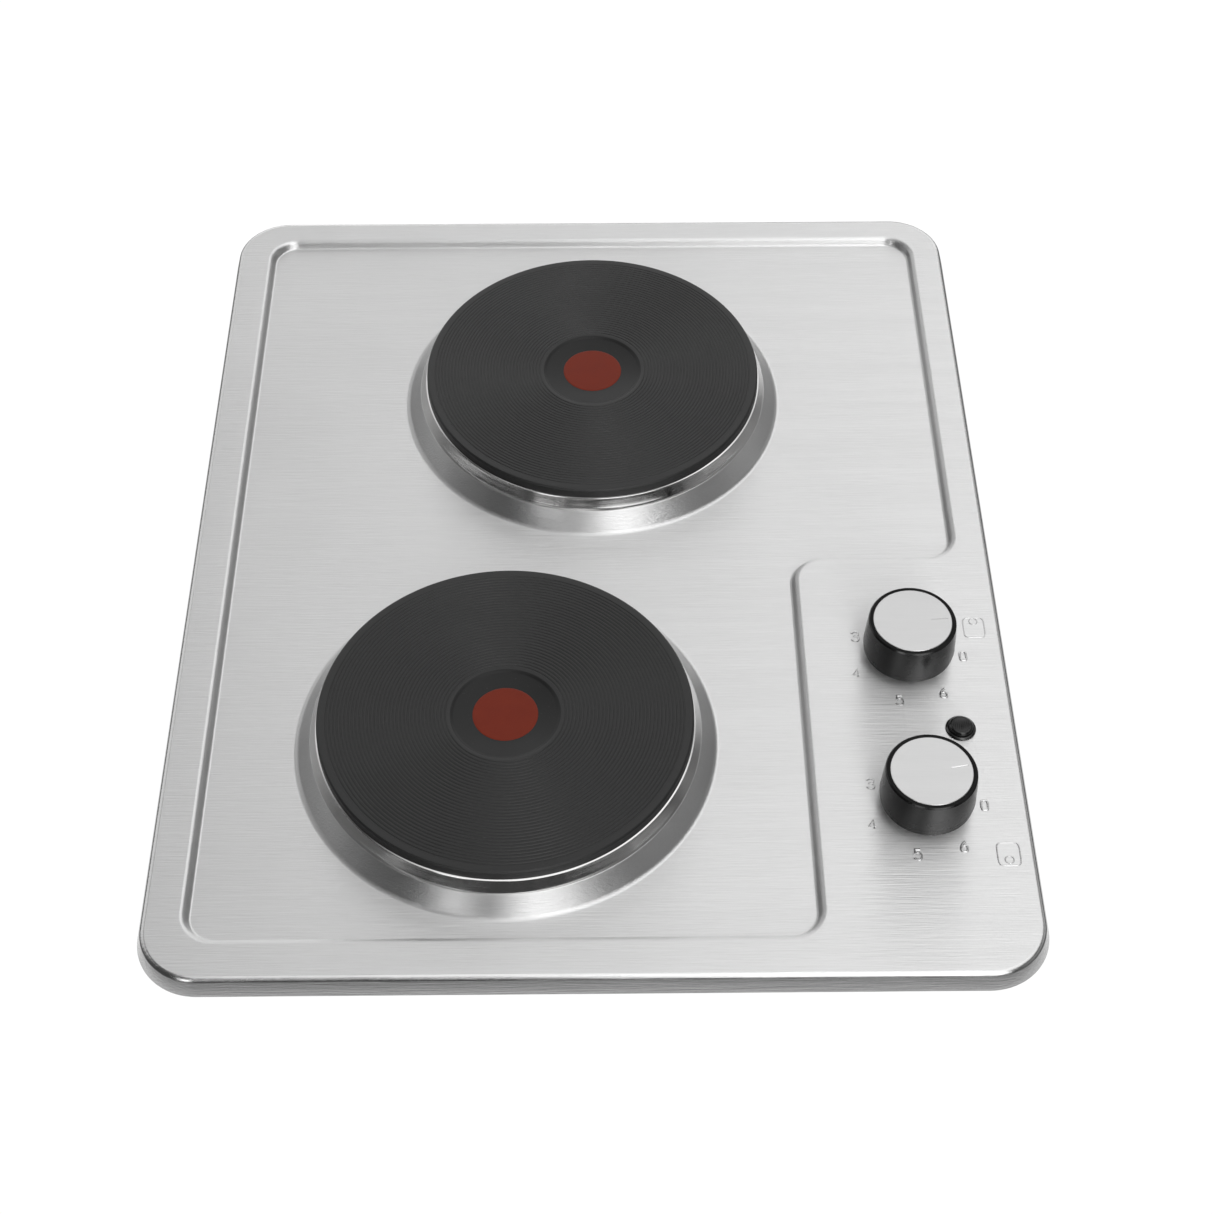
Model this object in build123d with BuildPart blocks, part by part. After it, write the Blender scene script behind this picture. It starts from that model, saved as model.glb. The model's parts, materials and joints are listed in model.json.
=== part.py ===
"""A built-in electric hob with two sealed cast-iron hotplates, in millimetres.

The origin lies under the middle of the hob, at the underside of its casing. +Z is up and -Y is the front.
"""

import os
from math import atan, degrees

from build123d import *

os.makedirs("parts", exist_ok=True)

# Pressed top
WIDTH = 410.0
DEPTH = 510.0
SHEET = 0.8
RIM_Z = 52.0  # upper face of the rim and of the control panel
LIP_HEIGHT = 10.0
CORNER_R = 29.5
RIM_ROUND = 4.0
LIP_Z = RIM_Z - LIP_HEIGHT

# Shallow recess, with a raised control panel left standing at the front right
RECESS_DEPTH = 4.0
RECESS_WALL = 2.4  # how far the sloping wall runs inwards
RECESS_SLOPE = degrees(atan(RECESS_WALL / RECESS_DEPTH))
RECESS_CORNER_R = 15.0
RECESS_LEFT = -184.0
RECESS_RIGHT = 186.0
RECESS_FRONT = -232.5
RECESS_BACK = 236.5
PANEL_LEFT = 103.3
PANEL_BACK = -10.0
RECESS_BEND = 1.7
FLOOR_Z = RIM_Z - RECESS_DEPTH

# Collars that lift the plates' seats out of the recess
COLLAR_FOOT_R = 100.0
COLLAR_TOP_R = 93.0
COLLAR_TOP_Z = RIM_Z + 6.0
COLLAR_FOOT_BEND = 3.2
COLLAR_TOP_BEND = 0.9
SEAT_HOLE_R = 84.0

# Hotplates
PLATES = {"front": (-41.0, -120.5), "rear": (1.0, 110.5)}
PLATE_R = 89.0
PLATE_TOP = RIM_Z + 17.5
PLATE_CHAMFER = 0.8
PLATE_FLANGE_Z = COLLAR_TOP_Z + 0.6
PLATE_BODY_R = 82.5
PLATE_BOTTOM = RIM_Z - 2.0
DISH_R = 26.0
DISH_DEPTH = 1.0
SPOT_R = 15.5
SPOT_RISE = 0.2
HEATER_INNER_R = 20.0
HEATER_OUTER_R = 76.0
HEATER_TOP = RIM_Z + 8.5
COIL_RADII = (34.0, 48.0, 62.0)
COIL_WIRE_R = 2.6
STUD_R = 4.0
STUD_BOTTOM = RIM_Z - 38.0
TRIM_SHEET = 0.5
TRIM_LIP_WIDTH = 0.9
TRIM_LIP_Z = RIM_Z + 12.4

# Thermal cut-out and terminal block under each plate
CUTOUT_OFFSET = 45.0
PLATE_BLOCK_OFFSET = 55.0
PLATE_BLOCK_SIZE = (24.0, 34.0, 12.0)
PIN_SPACING = 8.0
PIN_R = 1.6
PIN_DEPTH = 5.0

# Clamp bridge under each plate
BRIDGE_WIDTH = 22.0
BRIDGE_SHEET = 2.0
BRIDGE_Z = RIM_Z - 22.0
BRIDGE_LEG_R = 86.0
BRIDGE_FOOT_R = 91.0
NUT_HEIGHT = 6.5
NUT_ACROSS = 13.0

# Knobs and their switches
KNOBS = {"front": (154.5, -163.0), "rear": (154.5, -74.5)}
POINTER_ANGLES = {"front": 10.0, "rear": 4.0}
KNOB_BOTTOM = RIM_Z + 8.0
KNOB_TOP = RIM_Z + 28.0
KNOB_SKIRT_R = 22.2
KNOB_SHOULDER_R = 21.1
KNOB_RIM_R = 20.5
KNOB_CAP_R = 18.9
KNOB_WALL = 1.9
CAP_THICK = 1.2
HUB_R = 6.5
SHAFT_R = 3.0
SHAFT_FIT = 0.05
SHAFT_TOP = RIM_Z + 24.0
SHAFT_FLAT = 1.5  # from the axis to the flat of the D
PANEL_HOLE_R = 6.0
SWITCH_SIDE = 40.0
SWITCH_TOP = RIM_Z - 11.0
SWITCH_HEIGHT = 28.0
SWITCH_COVER = 2.0
CAM_R = 9.5
CAVITY_R = 10.0
SWITCH_SCREW_OFFSET = 14.0
SWITCH_BOTTOM = SWITCH_TOP - SWITCH_HEIGHT
BLADE_Z = SWITCH_TOP - 21.0
BRACKET_SHEET = 1.0
BRACKET_WIDTH = 32.0
BRACKET_X = 153.5
BRACKET_FRONT = -190.0
BRACKET_BACK = -47.0

# Pilot lamp
LAMP = (176.0, -118.8)
LAMP_FLANGE_R = 7.3
LAMP_LENS_R = 5.8
LAMP_BODY_R = 4.6
LAMP_BOTTOM = RIM_Z - 20.0
LAMP_TOP = RIM_Z + 3.8

# Casing below the top
CASING_X = 182.0
CASING_Y = 229.0
CASING_CORNER_R = 16.0
CASING_SCREW_R = 2.0
DIMPLE_R = 6.0
DIMPLE_RISE = 2.6
PILLAR_R = 4.5
PILLARS = ((-165.0, -212.0), (-165.0, 212.0), (165.0, 212.0), (80.0, -212.0))
PANEL_PILLAR = (165.0, -214.0)
UNDERSIDE = FLOOR_Z - SHEET
PANEL_UNDERSIDE = RIM_Z - SHEET

# Mains inlet at the back
INLET_X = 120.0
INLET_Z = 22.0
INLET_HOLE_R = 8.0
INLET_BORE_R = 4.2
TERMINAL_SIZE = (52.0, 20.0, 20.0)
TERMINAL_AT = (120.0, 196.0)

# Worktop clamps on the casing's sides
CLAMP_X = 186.2
CLAMPS = {"front": -140.0, "rear": 140.0}
CLAMP_WIDTH = 7.0
CLAMP_LENGTH = 28.0
CLAMP_SHEET = 2.0
CLAMP_Z = 7.2
CLAMP_SCREW_R = 2.0
CLAMP_TAB_Z = 30.0

# Sleeved wiring looms
LOOM_R = 3.0
LOOM_BEND_R = 16.0
LOOM_Z = SWITCH_TOP - 12.0
PLATE_LOOM_Z = PLATE_BOTTOM - SHEET - 6.0
MAINS_LOOM_X = 142.0
MAINS_LOOM_Z = SWITCH_TOP - 21.0

FULL_HEIGHT = 200.0
NEAR = 0.01  # how closely a face or an edge has to match to be picked


def save(part, name):
    """Labels a finished piece and writes it as one STEP file."""
    part.label = name
    export_step(part, f"parts/{name}.step")


def upright_axis(centre):
    """The vertical axis through a point given in plan."""
    return Axis((centre[0], centre[1], 0), (0, 0, 1))


def upright_section(centre, points):
    """A closed outline of (radius, height) points in the upright plane through a point given in plan."""
    with BuildSketch(Plane(origin=(centre[0], centre[1], 0), x_dir=(1, 0, 0), z_dir=(0, -1, 0))) as outline:
        with BuildLine():
            Polyline(*points, close=True)
        make_face()
    return outline.sketch


def recess_outline(grow):
    """The recess seen from above: a rectangle with the control panel's corner left out, grown all round."""
    right, back = RECESS_RIGHT + grow, RECESS_BACK + grow
    left, front = RECESS_LEFT - grow, RECESS_FRONT - grow
    panel_left, panel_back = PANEL_LEFT + grow, PANEL_BACK - grow
    corners = (
        (left, front),
        (panel_left, front),
        (panel_left, panel_back),
        (right, panel_back),
        (right, back),
        (left, back),
    )
    with BuildSketch() as outline:
        with BuildLine():
            Polyline(*corners, close=True)
        make_face()
        fillet(outline.vertices(), RECESS_CORNER_R)
    return outline.sketch


def pressed_form(inset):
    """The volume under the top's outer face or, inset by the sheet's thickness, under its inner face."""
    level = RIM_Z - inset
    floor = FLOOR_Z - inset
    collar_top = COLLAR_TOP_Z - inset
    slope_run = RECESS_WALL / RECESS_DEPTH
    grow = inset * ((1 + slope_run**2) ** 0.5 - slope_run)
    collar_run = (COLLAR_FOOT_R - COLLAR_TOP_R) / (COLLAR_TOP_Z - FLOOR_Z)
    shrink = inset * ((1 + collar_run**2) ** 0.5 - collar_run)
    with BuildPart() as form:
        with BuildSketch(Plane.XY.offset(LIP_Z - inset)):
            RectangleRounded(WIDTH - 2 * inset, DEPTH - 2 * inset, CORNER_R - inset)
        extrude(amount=level - LIP_Z + inset)
        fillet(form.faces().sort_by(Axis.Z)[-1].edges(), RIM_ROUND - inset)
        with BuildSketch(Plane.XY.offset(level)):
            add(recess_outline(grow))
        extrude(amount=-RECESS_DEPTH, taper=RECESS_SLOPE, mode=Mode.SUBTRACT)
        floor_face = form.faces().filter_by(Axis.Z).filter_by_position(Axis.Z, floor - NEAR, floor + NEAR)[0]
        fillet(floor_face.edges(), RECESS_BEND + inset)
        rim_face = form.faces().filter_by(Axis.Z).filter_by_position(Axis.Z, level - NEAR, level + NEAR)[0]
        fillet(rim_face.inner_wires()[0].edges(), RECESS_BEND - inset)
        for centre in PLATES.values():
            cone = ((0, floor - 0.5), (COLLAR_FOOT_R - shrink, floor - 0.5), (COLLAR_FOOT_R - shrink, floor))
            cone += ((COLLAR_TOP_R - shrink, collar_top), (0, collar_top))
            revolve(upright_section(centre, cone), axis=upright_axis(centre))
        rings = form.edges().filter_by(GeomType.CIRCLE)
        feet = rings.filter_by(lambda edge: abs(edge.radius - COLLAR_FOOT_R + shrink) < NEAR)
        fillet(feet.filter_by_position(Axis.Z, floor - NEAR, floor + NEAR), COLLAR_FOOT_BEND + inset)
        rings = form.edges().filter_by(GeomType.CIRCLE)
        tops = rings.filter_by(lambda edge: abs(edge.radius - COLLAR_TOP_R + shrink) < NEAR)
        fillet(tops, COLLAR_TOP_BEND - inset)
    return form.part


def hob_top():
    """Pressed stainless top: rolled rim, recess, raised panel, two collars, and the holes."""
    outer = pressed_form(0.0)
    inner = pressed_form(SHEET)
    with BuildPart() as top:
        add(outer)
        add(inner, mode=Mode.SUBTRACT)
        with BuildSketch():
            with Locations(*PLATES.values()):
                Circle(SEAT_HOLE_R)
            with Locations(*KNOBS.values()):
                Circle(PANEL_HOLE_R)
            with Locations(LAMP):
                Circle(LAMP_BODY_R + 0.2)
        extrude(amount=FULL_HEIGHT, mode=Mode.SUBTRACT)
    save(top.part, "hob_top")


def rim_seal():
    """Foam strip in the rim's channel, pressed level with the lip."""
    outer_gap, strip_width = RIM_ROUND + 0.2, 7.6
    inner_gap = outer_gap + strip_width
    with BuildPart() as seal:
        with BuildSketch(Plane.XY.offset(LIP_Z)):
            RectangleRounded(WIDTH - 2 * outer_gap, DEPTH - 2 * outer_gap, CORNER_R - outer_gap)
            inner_size = (WIDTH - 2 * inner_gap, DEPTH - 2 * inner_gap)
            RectangleRounded(*inner_size, CORNER_R - inner_gap, mode=Mode.SUBTRACT)
        extrude(amount=PANEL_UNDERSIDE - LIP_Z)
        fillet(seal.edges().filter_by_position(Axis.Z, PANEL_UNDERSIDE - NEAR, PANEL_UNDERSIDE + NEAR), 0.8)
    save(seal.part, "rim_seal")


def hotplate(end, centre):
    """Cast-iron plate with a dished middle, a hollow for the heater below, and a central stud."""
    dish_z = PLATE_TOP - DISH_DEPTH
    section = (
        (0, dish_z),
        (DISH_R - DISH_DEPTH, dish_z),
        (DISH_R, PLATE_TOP),
        (PLATE_R - PLATE_CHAMFER, PLATE_TOP),
        (PLATE_R, PLATE_TOP - PLATE_CHAMFER),
        (PLATE_R, PLATE_FLANGE_Z),
        (PLATE_BODY_R, PLATE_FLANGE_Z),
        (PLATE_BODY_R, PLATE_BOTTOM),
        (HEATER_OUTER_R, PLATE_BOTTOM),
        (HEATER_OUTER_R, HEATER_TOP),
        (HEATER_INNER_R, HEATER_TOP),
        (HEATER_INNER_R, PLATE_BOTTOM),
        (STUD_R, PLATE_BOTTOM),
        (STUD_R, STUD_BOTTOM),
        (0, STUD_BOTTOM),
    )
    with BuildPart() as plate:
        revolve(upright_section(centre, section), axis=upright_axis(centre))
    save(plate.part, f"{end}_hotplate")


def red_spot(end, centre):
    """Enamel disc in the dished middle that marks a fast-heating plate."""
    with BuildPart() as spot:
        with BuildSketch(Plane((centre[0], centre[1], PLATE_TOP - DISH_DEPTH))):
            Circle(SPOT_R)
        extrude(amount=SPOT_RISE)
        fillet(spot.faces().sort_by(Axis.Z)[-1].edges(), SPOT_RISE / 2)
    save(spot.part, f"{end}_red_spot")


def trim_ring(end, centre):
    """Polished overflow ring, folded over at its lip, with its outer foot on the collar's seat."""
    foot_r = COLLAR_TOP_R - 0.1
    section = (
        (PLATE_R, PLATE_FLANGE_Z),
        (PLATE_R, TRIM_LIP_Z),
        (PLATE_R + TRIM_LIP_WIDTH, TRIM_LIP_Z),
        (foot_r, COLLAR_TOP_Z),
        (foot_r - 1.2 * TRIM_SHEET, COLLAR_TOP_Z),
        (PLATE_R + 1.4 * TRIM_SHEET, TRIM_LIP_Z - 1.1 * TRIM_SHEET),
        (PLATE_R + TRIM_SHEET, TRIM_LIP_Z - 1.1 * TRIM_SHEET),
        (PLATE_R + TRIM_SHEET, PLATE_FLANGE_Z),
    )
    with BuildPart() as ring:
        revolve(upright_section(centre, section), axis=upright_axis(centre))
        circles = ring.edges().filter_by(GeomType.CIRCLE)
        fillet(circles.filter_by(lambda edge: abs(edge.radius - PLATE_R - TRIM_LIP_WIDTH) < NEAR), 0.3)
    save(ring.part, f"{end}_trim_ring")


def heater(end, centre):
    """Ceramic packing in the plate's hollow, with three ring coils set in it, and the steel cover below."""
    packing_bottom = PLATE_BOTTOM
    coil_z = (packing_bottom + HEATER_TOP) / 2
    with BuildPart() as coils:
        for coil_r in COIL_RADII:
            with BuildSketch(Plane(origin=(centre[0], centre[1], coil_z), x_dir=(1, 0, 0), z_dir=(0, -1, 0))):
                with Locations((coil_r, 0)):
                    Circle(COIL_WIRE_R)
        revolve(axis=upright_axis(centre))
    save(coils.part, f"{end}_heating_coils")

    block = (
        (HEATER_INNER_R, packing_bottom),
        (HEATER_OUTER_R, packing_bottom),
        (HEATER_OUTER_R, HEATER_TOP),
        (HEATER_INNER_R, HEATER_TOP),
    )
    with BuildPart() as packing:
        revolve(upright_section(centre, block), axis=upright_axis(centre))
        add(coils.part, mode=Mode.SUBTRACT)
    save(packing.part, f"{end}_heater_packing")

    turned_up = 4.0
    pan = (
        (STUD_R + 1, PLATE_BOTTOM),
        (PLATE_BODY_R, PLATE_BOTTOM),
        (PLATE_BODY_R, PLATE_BOTTOM + turned_up),
        (PLATE_BODY_R + SHEET, PLATE_BOTTOM + turned_up),
        (PLATE_BODY_R + SHEET, PLATE_BOTTOM - SHEET),
        (STUD_R + 1, PLATE_BOTTOM - SHEET),
    )
    with BuildPart() as cover:
        revolve(upright_section(centre, pan), axis=upright_axis(centre))
    save(cover.part, f"{end}_heater_cover")


def plate_fixing(end, centre):
    """Steel bridge that bears up against the collar from below and holds the plate down by its stud."""
    x, y = centre
    foot_z = COLLAR_TOP_Z - SHEET
    half = (
        (0, BRIDGE_Z),
        (BRIDGE_LEG_R + BRIDGE_SHEET, BRIDGE_Z),
        (BRIDGE_LEG_R + BRIDGE_SHEET, foot_z - BRIDGE_SHEET),
        (BRIDGE_FOOT_R, foot_z - BRIDGE_SHEET),
        (BRIDGE_FOOT_R, foot_z),
        (BRIDGE_LEG_R, foot_z),
        (BRIDGE_LEG_R, BRIDGE_Z + BRIDGE_SHEET),
        (0, BRIDGE_Z + BRIDGE_SHEET),
    )
    with BuildPart() as bridge:
        with BuildSketch(Plane(origin=(x, y, 0), x_dir=(0, 1, 0), z_dir=(1, 0, 0))):
            with BuildLine():
                Polyline(*half, close=True)
            make_face()
            mirror(about=Plane.YZ)
        extrude(amount=BRIDGE_WIDTH / 2, both=True)
        with Locations((x, y, BRIDGE_Z)):
            Cylinder(STUD_R + 0.3, 3 * BRIDGE_SHEET, mode=Mode.SUBTRACT)
    save(bridge.part, f"{end}_clamp_bridge")


def stud_nuts():
    """Washer and nut on each plate's stud, which pull the plate down on its collar."""
    washer_thick, washer_r = 1.6, 8.0
    with BuildPart() as nuts:
        with BuildSketch(Plane.XY.offset(BRIDGE_Z)):
            with Locations(*PLATES.values()):
                Circle(washer_r)
                Circle(STUD_R, mode=Mode.SUBTRACT)
        extrude(amount=-washer_thick)
        with BuildSketch(Plane.XY.offset(BRIDGE_Z - washer_thick)):
            with Locations(*PLATES.values()):
                RegularPolygon(NUT_ACROSS / 2, 6, major_radius=False)
                Circle(STUD_R, mode=Mode.SUBTRACT)
        extrude(amount=-NUT_HEIGHT)
    save(nuts.part, "stud_nuts")


def plate_electrics(end, centre):
    """Thermal cut-out and ceramic terminal block under the heater cover."""
    x, y = centre
    below_cover = PLATE_BOTTOM - SHEET
    cutout_x = x - CUTOUT_OFFSET
    cutout_r, cutout_height, tag_size = 8.0, 6.0, (2.0, 6.3, 0.8)
    tag_z = below_cover - cutout_height / 2
    with BuildPart() as cutout:
        with BuildSketch(Plane((cutout_x, y, below_cover))):
            Circle(cutout_r)
        extrude(amount=-cutout_height)
        fillet(cutout.faces().sort_by(Axis.Z)[0].edges(), 1.0)
        with Locations(*[(cutout_x + side * (cutout_r + 0.5), y, tag_z) for side in (-1, 1)]):
            Box(*tag_size)
    save(cutout.part, f"{end}_thermal_cutout")

    with BuildPart() as block:
        with Locations((x + PLATE_BLOCK_OFFSET, y, below_cover)):
            Box(*PLATE_BLOCK_SIZE, align=(Align.CENTER, Align.CENTER, Align.MAX))
        fillet(block.edges().filter_by(Axis.Z), 2.0)
        with Locations((x + PLATE_BLOCK_OFFSET, y, below_cover - PLATE_BLOCK_SIZE[2])):
            with GridLocations(0, PIN_SPACING, 1, 4):
                Cylinder(PIN_R, 2 * PIN_DEPTH, mode=Mode.SUBTRACT)
    save(block.part, f"{end}_plate_terminals")


def terminal_pins():
    """Four connection pins in each plate's terminal block."""
    pin_length = 9.0
    mouth_z = PLATE_BOTTOM - SHEET - PLATE_BLOCK_SIZE[2]
    with BuildPart() as pins:
        with Locations(*[(x + PLATE_BLOCK_OFFSET, y, mouth_z + PIN_DEPTH) for x, y in PLATES.values()]):
            with GridLocations(0, PIN_SPACING, 1, 4):
                Cylinder(PIN_R, pin_length, align=(Align.CENTER, Align.CENTER, Align.MAX))
    save(pins.part, "terminal_pins")


def knob(end, centre):
    """Black knob body, hollow below, with a hub for the switch shaft."""
    x, y = centre
    rim_z = KNOB_TOP - 0.1
    pocket_z = KNOB_TOP - CAP_THICK
    ceiling_z = pocket_z - KNOB_WALL
    shoulder_z = KNOB_TOP - 1.0
    hub_bottom = KNOB_BOTTOM + 3.0
    rib_bottom = KNOB_BOTTOM + 8.0
    section = (
        (0, pocket_z),
        (KNOB_CAP_R + 0.1, pocket_z),
        (KNOB_CAP_R + 0.1, rim_z),
        (KNOB_RIM_R, rim_z),
        (KNOB_SHOULDER_R, shoulder_z),
        (KNOB_SKIRT_R, KNOB_BOTTOM),
        (KNOB_SKIRT_R - KNOB_WALL, KNOB_BOTTOM),
        (KNOB_SHOULDER_R - KNOB_WALL, ceiling_z),
        (HUB_R, ceiling_z),
        (HUB_R, hub_bottom),
        (0, hub_bottom),
    )
    with BuildPart() as body:
        revolve(upright_section(centre, section), axis=upright_axis(centre))
        with BuildSketch(Plane((x, y, ceiling_z))):
            with PolarLocations(0, 2, angular_range=180):
                Rectangle(2 * (KNOB_SHOULDER_R - KNOB_WALL) + 0.4, 1.4)
            Circle(HUB_R - 0.5, mode=Mode.SUBTRACT)
        extrude(amount=rib_bottom - ceiling_z)
        with BuildSketch(Plane((x, y, hub_bottom))):
            Circle(SHAFT_R)
            with Locations((SHAFT_FLAT, 0)):
                Rectangle(SHAFT_R, 2 * SHAFT_R, align=(Align.MIN, Align.CENTER), mode=Mode.SUBTRACT)
        extrude(amount=SHAFT_TOP - hub_bottom, mode=Mode.SUBTRACT)
    save(body.part, f"{end}_knob_body")

    pointer_inner, pointer_outer, pointer_width, pointer_depth = 9.0, 17.2, 0.7, 0.3
    with BuildPart() as cap:
        with BuildSketch(Plane((x, y, pocket_z))):
            Circle(KNOB_CAP_R)
        extrude(amount=CAP_THICK)
        chamfer(cap.faces().sort_by(Axis.Z)[-1].edges(), 0.25)
        with BuildSketch(Plane((x, y, KNOB_TOP)).rotated((0, 0, POINTER_ANGLES[end]))):
            with Locations(((pointer_inner + pointer_outer) / 2, 0)):
                Rectangle(pointer_outer - pointer_inner, pointer_width)
        extrude(amount=-pointer_depth, mode=Mode.SUBTRACT)
    save(cap.part, f"{end}_knob_cap")

    clip_thick, clip_height, clip_gap = 0.7, 3.0, 3.0
    with BuildPart() as clip:
        with BuildSketch(Plane((x, y, hub_bottom + 1.0))):
            Circle(HUB_R + clip_thick)
            Circle(HUB_R, mode=Mode.SUBTRACT)
            with Locations((-HUB_R, 0)):
                Rectangle(2 * clip_gap, clip_gap, mode=Mode.SUBTRACT)
        extrude(amount=clip_height)
    save(clip.part, f"{end}_knob_clip")


def switch_shaft(end, centre):
    """D-ended spindle with its cam drum inside the switch."""
    x, y = centre
    cam_top, cam_bottom = SWITCH_TOP - 4.0, SWITCH_BOTTOM + 1.0
    flat_bottom = KNOB_BOTTOM + 2.0
    with BuildPart() as shaft:
        with BuildSketch(Plane((x, y, cam_bottom))):
            Circle(SHAFT_R)
        extrude(amount=SHAFT_TOP - cam_bottom)
        with BuildSketch(Plane((x, y, flat_bottom))):
            with Locations((SHAFT_FLAT, 0)):
                Rectangle(SHAFT_R, 2 * SHAFT_R, align=(Align.MIN, Align.CENTER))
        extrude(amount=SHAFT_TOP - flat_bottom, mode=Mode.SUBTRACT)
        with BuildSketch(Plane((x, y, cam_bottom))):
            Circle(CAM_R)
            with PolarLocations(CAM_R + 0.6, 7):
                Circle(2.0, mode=Mode.SUBTRACT)
        extrude(amount=cam_top - cam_bottom)
        with BuildSketch(Plane((x, y, cam_bottom))):
            Circle(SHAFT_R - 1.0)
        extrude(amount=-SWITCH_COVER)
    save(shaft.part, f"{end}_switch_shaft")


def switch(end, centre):
    """Seven-position rotary switch: moulded body, bottom cover and tab contacts."""
    x, y = centre
    blade_size, blade_spacing, corner_r = (8.0, 6.3, 0.8), 12.0, 3.0
    cavity_roof, screw_depth = 3.5, 20.0
    with BuildPart() as blades:
        for side in (-1, 1):
            with Locations((x + side * (SWITCH_SIDE / 2 + 1.0), y, BLADE_Z)):
                with GridLocations(0, blade_spacing, 1, 3):
                    Box(*blade_size)
    save(blades.part, f"{end}_switch_contacts")

    with BuildPart() as body:
        with BuildSketch(Plane((x, y, SWITCH_BOTTOM))):
            RectangleRounded(SWITCH_SIDE, SWITCH_SIDE, corner_r)
        extrude(amount=SWITCH_HEIGHT)
        with BuildSketch(Plane((x, y, SWITCH_BOTTOM))):
            Circle(CAVITY_R)
        extrude(amount=SWITCH_HEIGHT - cavity_roof, mode=Mode.SUBTRACT)
        with Locations((x, y, SWITCH_TOP)):
            Cylinder(SHAFT_R + SHAFT_FIT, 12.0, mode=Mode.SUBTRACT)
        with Locations((x, y - SWITCH_SCREW_OFFSET, SWITCH_TOP), (x, y + SWITCH_SCREW_OFFSET, SWITCH_TOP)):
            Cylinder(CASING_SCREW_R, screw_depth, mode=Mode.SUBTRACT)
        add(blades.part, mode=Mode.SUBTRACT)
    save(body.part, f"{end}_switch_body")

    with BuildPart() as cover:
        with BuildSketch(Plane((x, y, SWITCH_BOTTOM))):
            RectangleRounded(SWITCH_SIDE, SWITCH_SIDE, corner_r)
            Circle(SHAFT_R - 1.0 + SHAFT_FIT, mode=Mode.SUBTRACT)
        extrude(amount=-SWITCH_COVER)
    save(cover.part, f"{end}_switch_cover")


def shaft_seal(end, centre):
    """Rubber bush round the spindle where it comes through the panel."""
    flange_r, flange_thick, bore_r = 8.5, 1.0, SHAFT_R + 0.3
    section = (
        (bore_r, PANEL_UNDERSIDE - flange_thick),
        (flange_r, PANEL_UNDERSIDE - flange_thick),
        (flange_r, PANEL_UNDERSIDE),
        (PANEL_HOLE_R, PANEL_UNDERSIDE),
        (PANEL_HOLE_R, RIM_Z),
        (flange_r, RIM_Z),
        (flange_r - 0.6, RIM_Z + flange_thick),
        (bore_r + 0.8, RIM_Z + 3 * flange_thick),
        (bore_r, RIM_Z + 3 * flange_thick),
    )
    with BuildPart() as seal:
        revolve(upright_section(centre, section), axis=upright_axis(centre))
    save(seal.part, f"{end}_shaft_seal")


def switch_bracket():
    """Bent steel strap under the panel that carries both switches, and the four screws that hold them."""
    middle_y = (BRACKET_FRONT + BRACKET_BACK) / 2
    length = BRACKET_BACK - BRACKET_FRONT
    flange, hole_depth = 8.0, 6.0
    screw_places = [(x, y + side * SWITCH_SCREW_OFFSET) for x, y in KNOBS.values() for side in (-1, 1)]
    base_half = length / 2
    strap = (
        (-base_half, SWITCH_TOP),
        (base_half, SWITCH_TOP),
        (base_half, PANEL_UNDERSIDE - BRACKET_SHEET),
        (base_half + flange, PANEL_UNDERSIDE - BRACKET_SHEET),
        (base_half + flange, PANEL_UNDERSIDE),
        (base_half - BRACKET_SHEET, PANEL_UNDERSIDE),
        (base_half - BRACKET_SHEET, SWITCH_TOP + BRACKET_SHEET),
        (-base_half + BRACKET_SHEET, SWITCH_TOP + BRACKET_SHEET),
        (-base_half + BRACKET_SHEET, PANEL_UNDERSIDE),
        (-base_half - flange, PANEL_UNDERSIDE),
        (-base_half - flange, PANEL_UNDERSIDE - BRACKET_SHEET),
        (-base_half, PANEL_UNDERSIDE - BRACKET_SHEET),
    )
    with BuildPart() as bracket:
        with BuildSketch(Plane(origin=(BRACKET_X, middle_y, 0), x_dir=(0, 1, 0), z_dir=(1, 0, 0))):
            with BuildLine():
                Polyline(*strap, close=True)
            make_face()
        extrude(amount=BRACKET_WIDTH / 2, both=True)
        with Locations(*[(x, y, SWITCH_TOP) for x, y in screw_places]):
            Cylinder(CASING_SCREW_R, hole_depth, mode=Mode.SUBTRACT)
        with Locations(*[(x, y, SWITCH_TOP) for x, y in KNOBS.values()]):
            Cylinder(SHAFT_R + 1.5, hole_depth, mode=Mode.SUBTRACT)
    save(bracket.part, "switch_bracket")

    head_r, head_height, screw_length = 3.8, 2.4, 9.0
    with BuildPart() as screws:
        with BuildSketch(Plane.XY.offset(SWITCH_TOP + BRACKET_SHEET)):
            with Locations(*screw_places):
                Circle(head_r)
        extrude(amount=head_height)
        chamfer(screws.faces().filter_by(Axis.Z).group_by(Axis.Z)[-1].edges(), 0.5)
        with BuildSketch(Plane.XY.offset(SWITCH_TOP + BRACKET_SHEET)):
            with Locations(*screw_places):
                Circle(CASING_SCREW_R)
        extrude(amount=-screw_length)
        with Locations(*[(x, y, SWITCH_TOP + BRACKET_SHEET + head_height) for x, y in screw_places]):
            Box(2 * head_r, 1.0, 2.0, mode=Mode.SUBTRACT)
    save(screws.part, "switch_screws")


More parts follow.
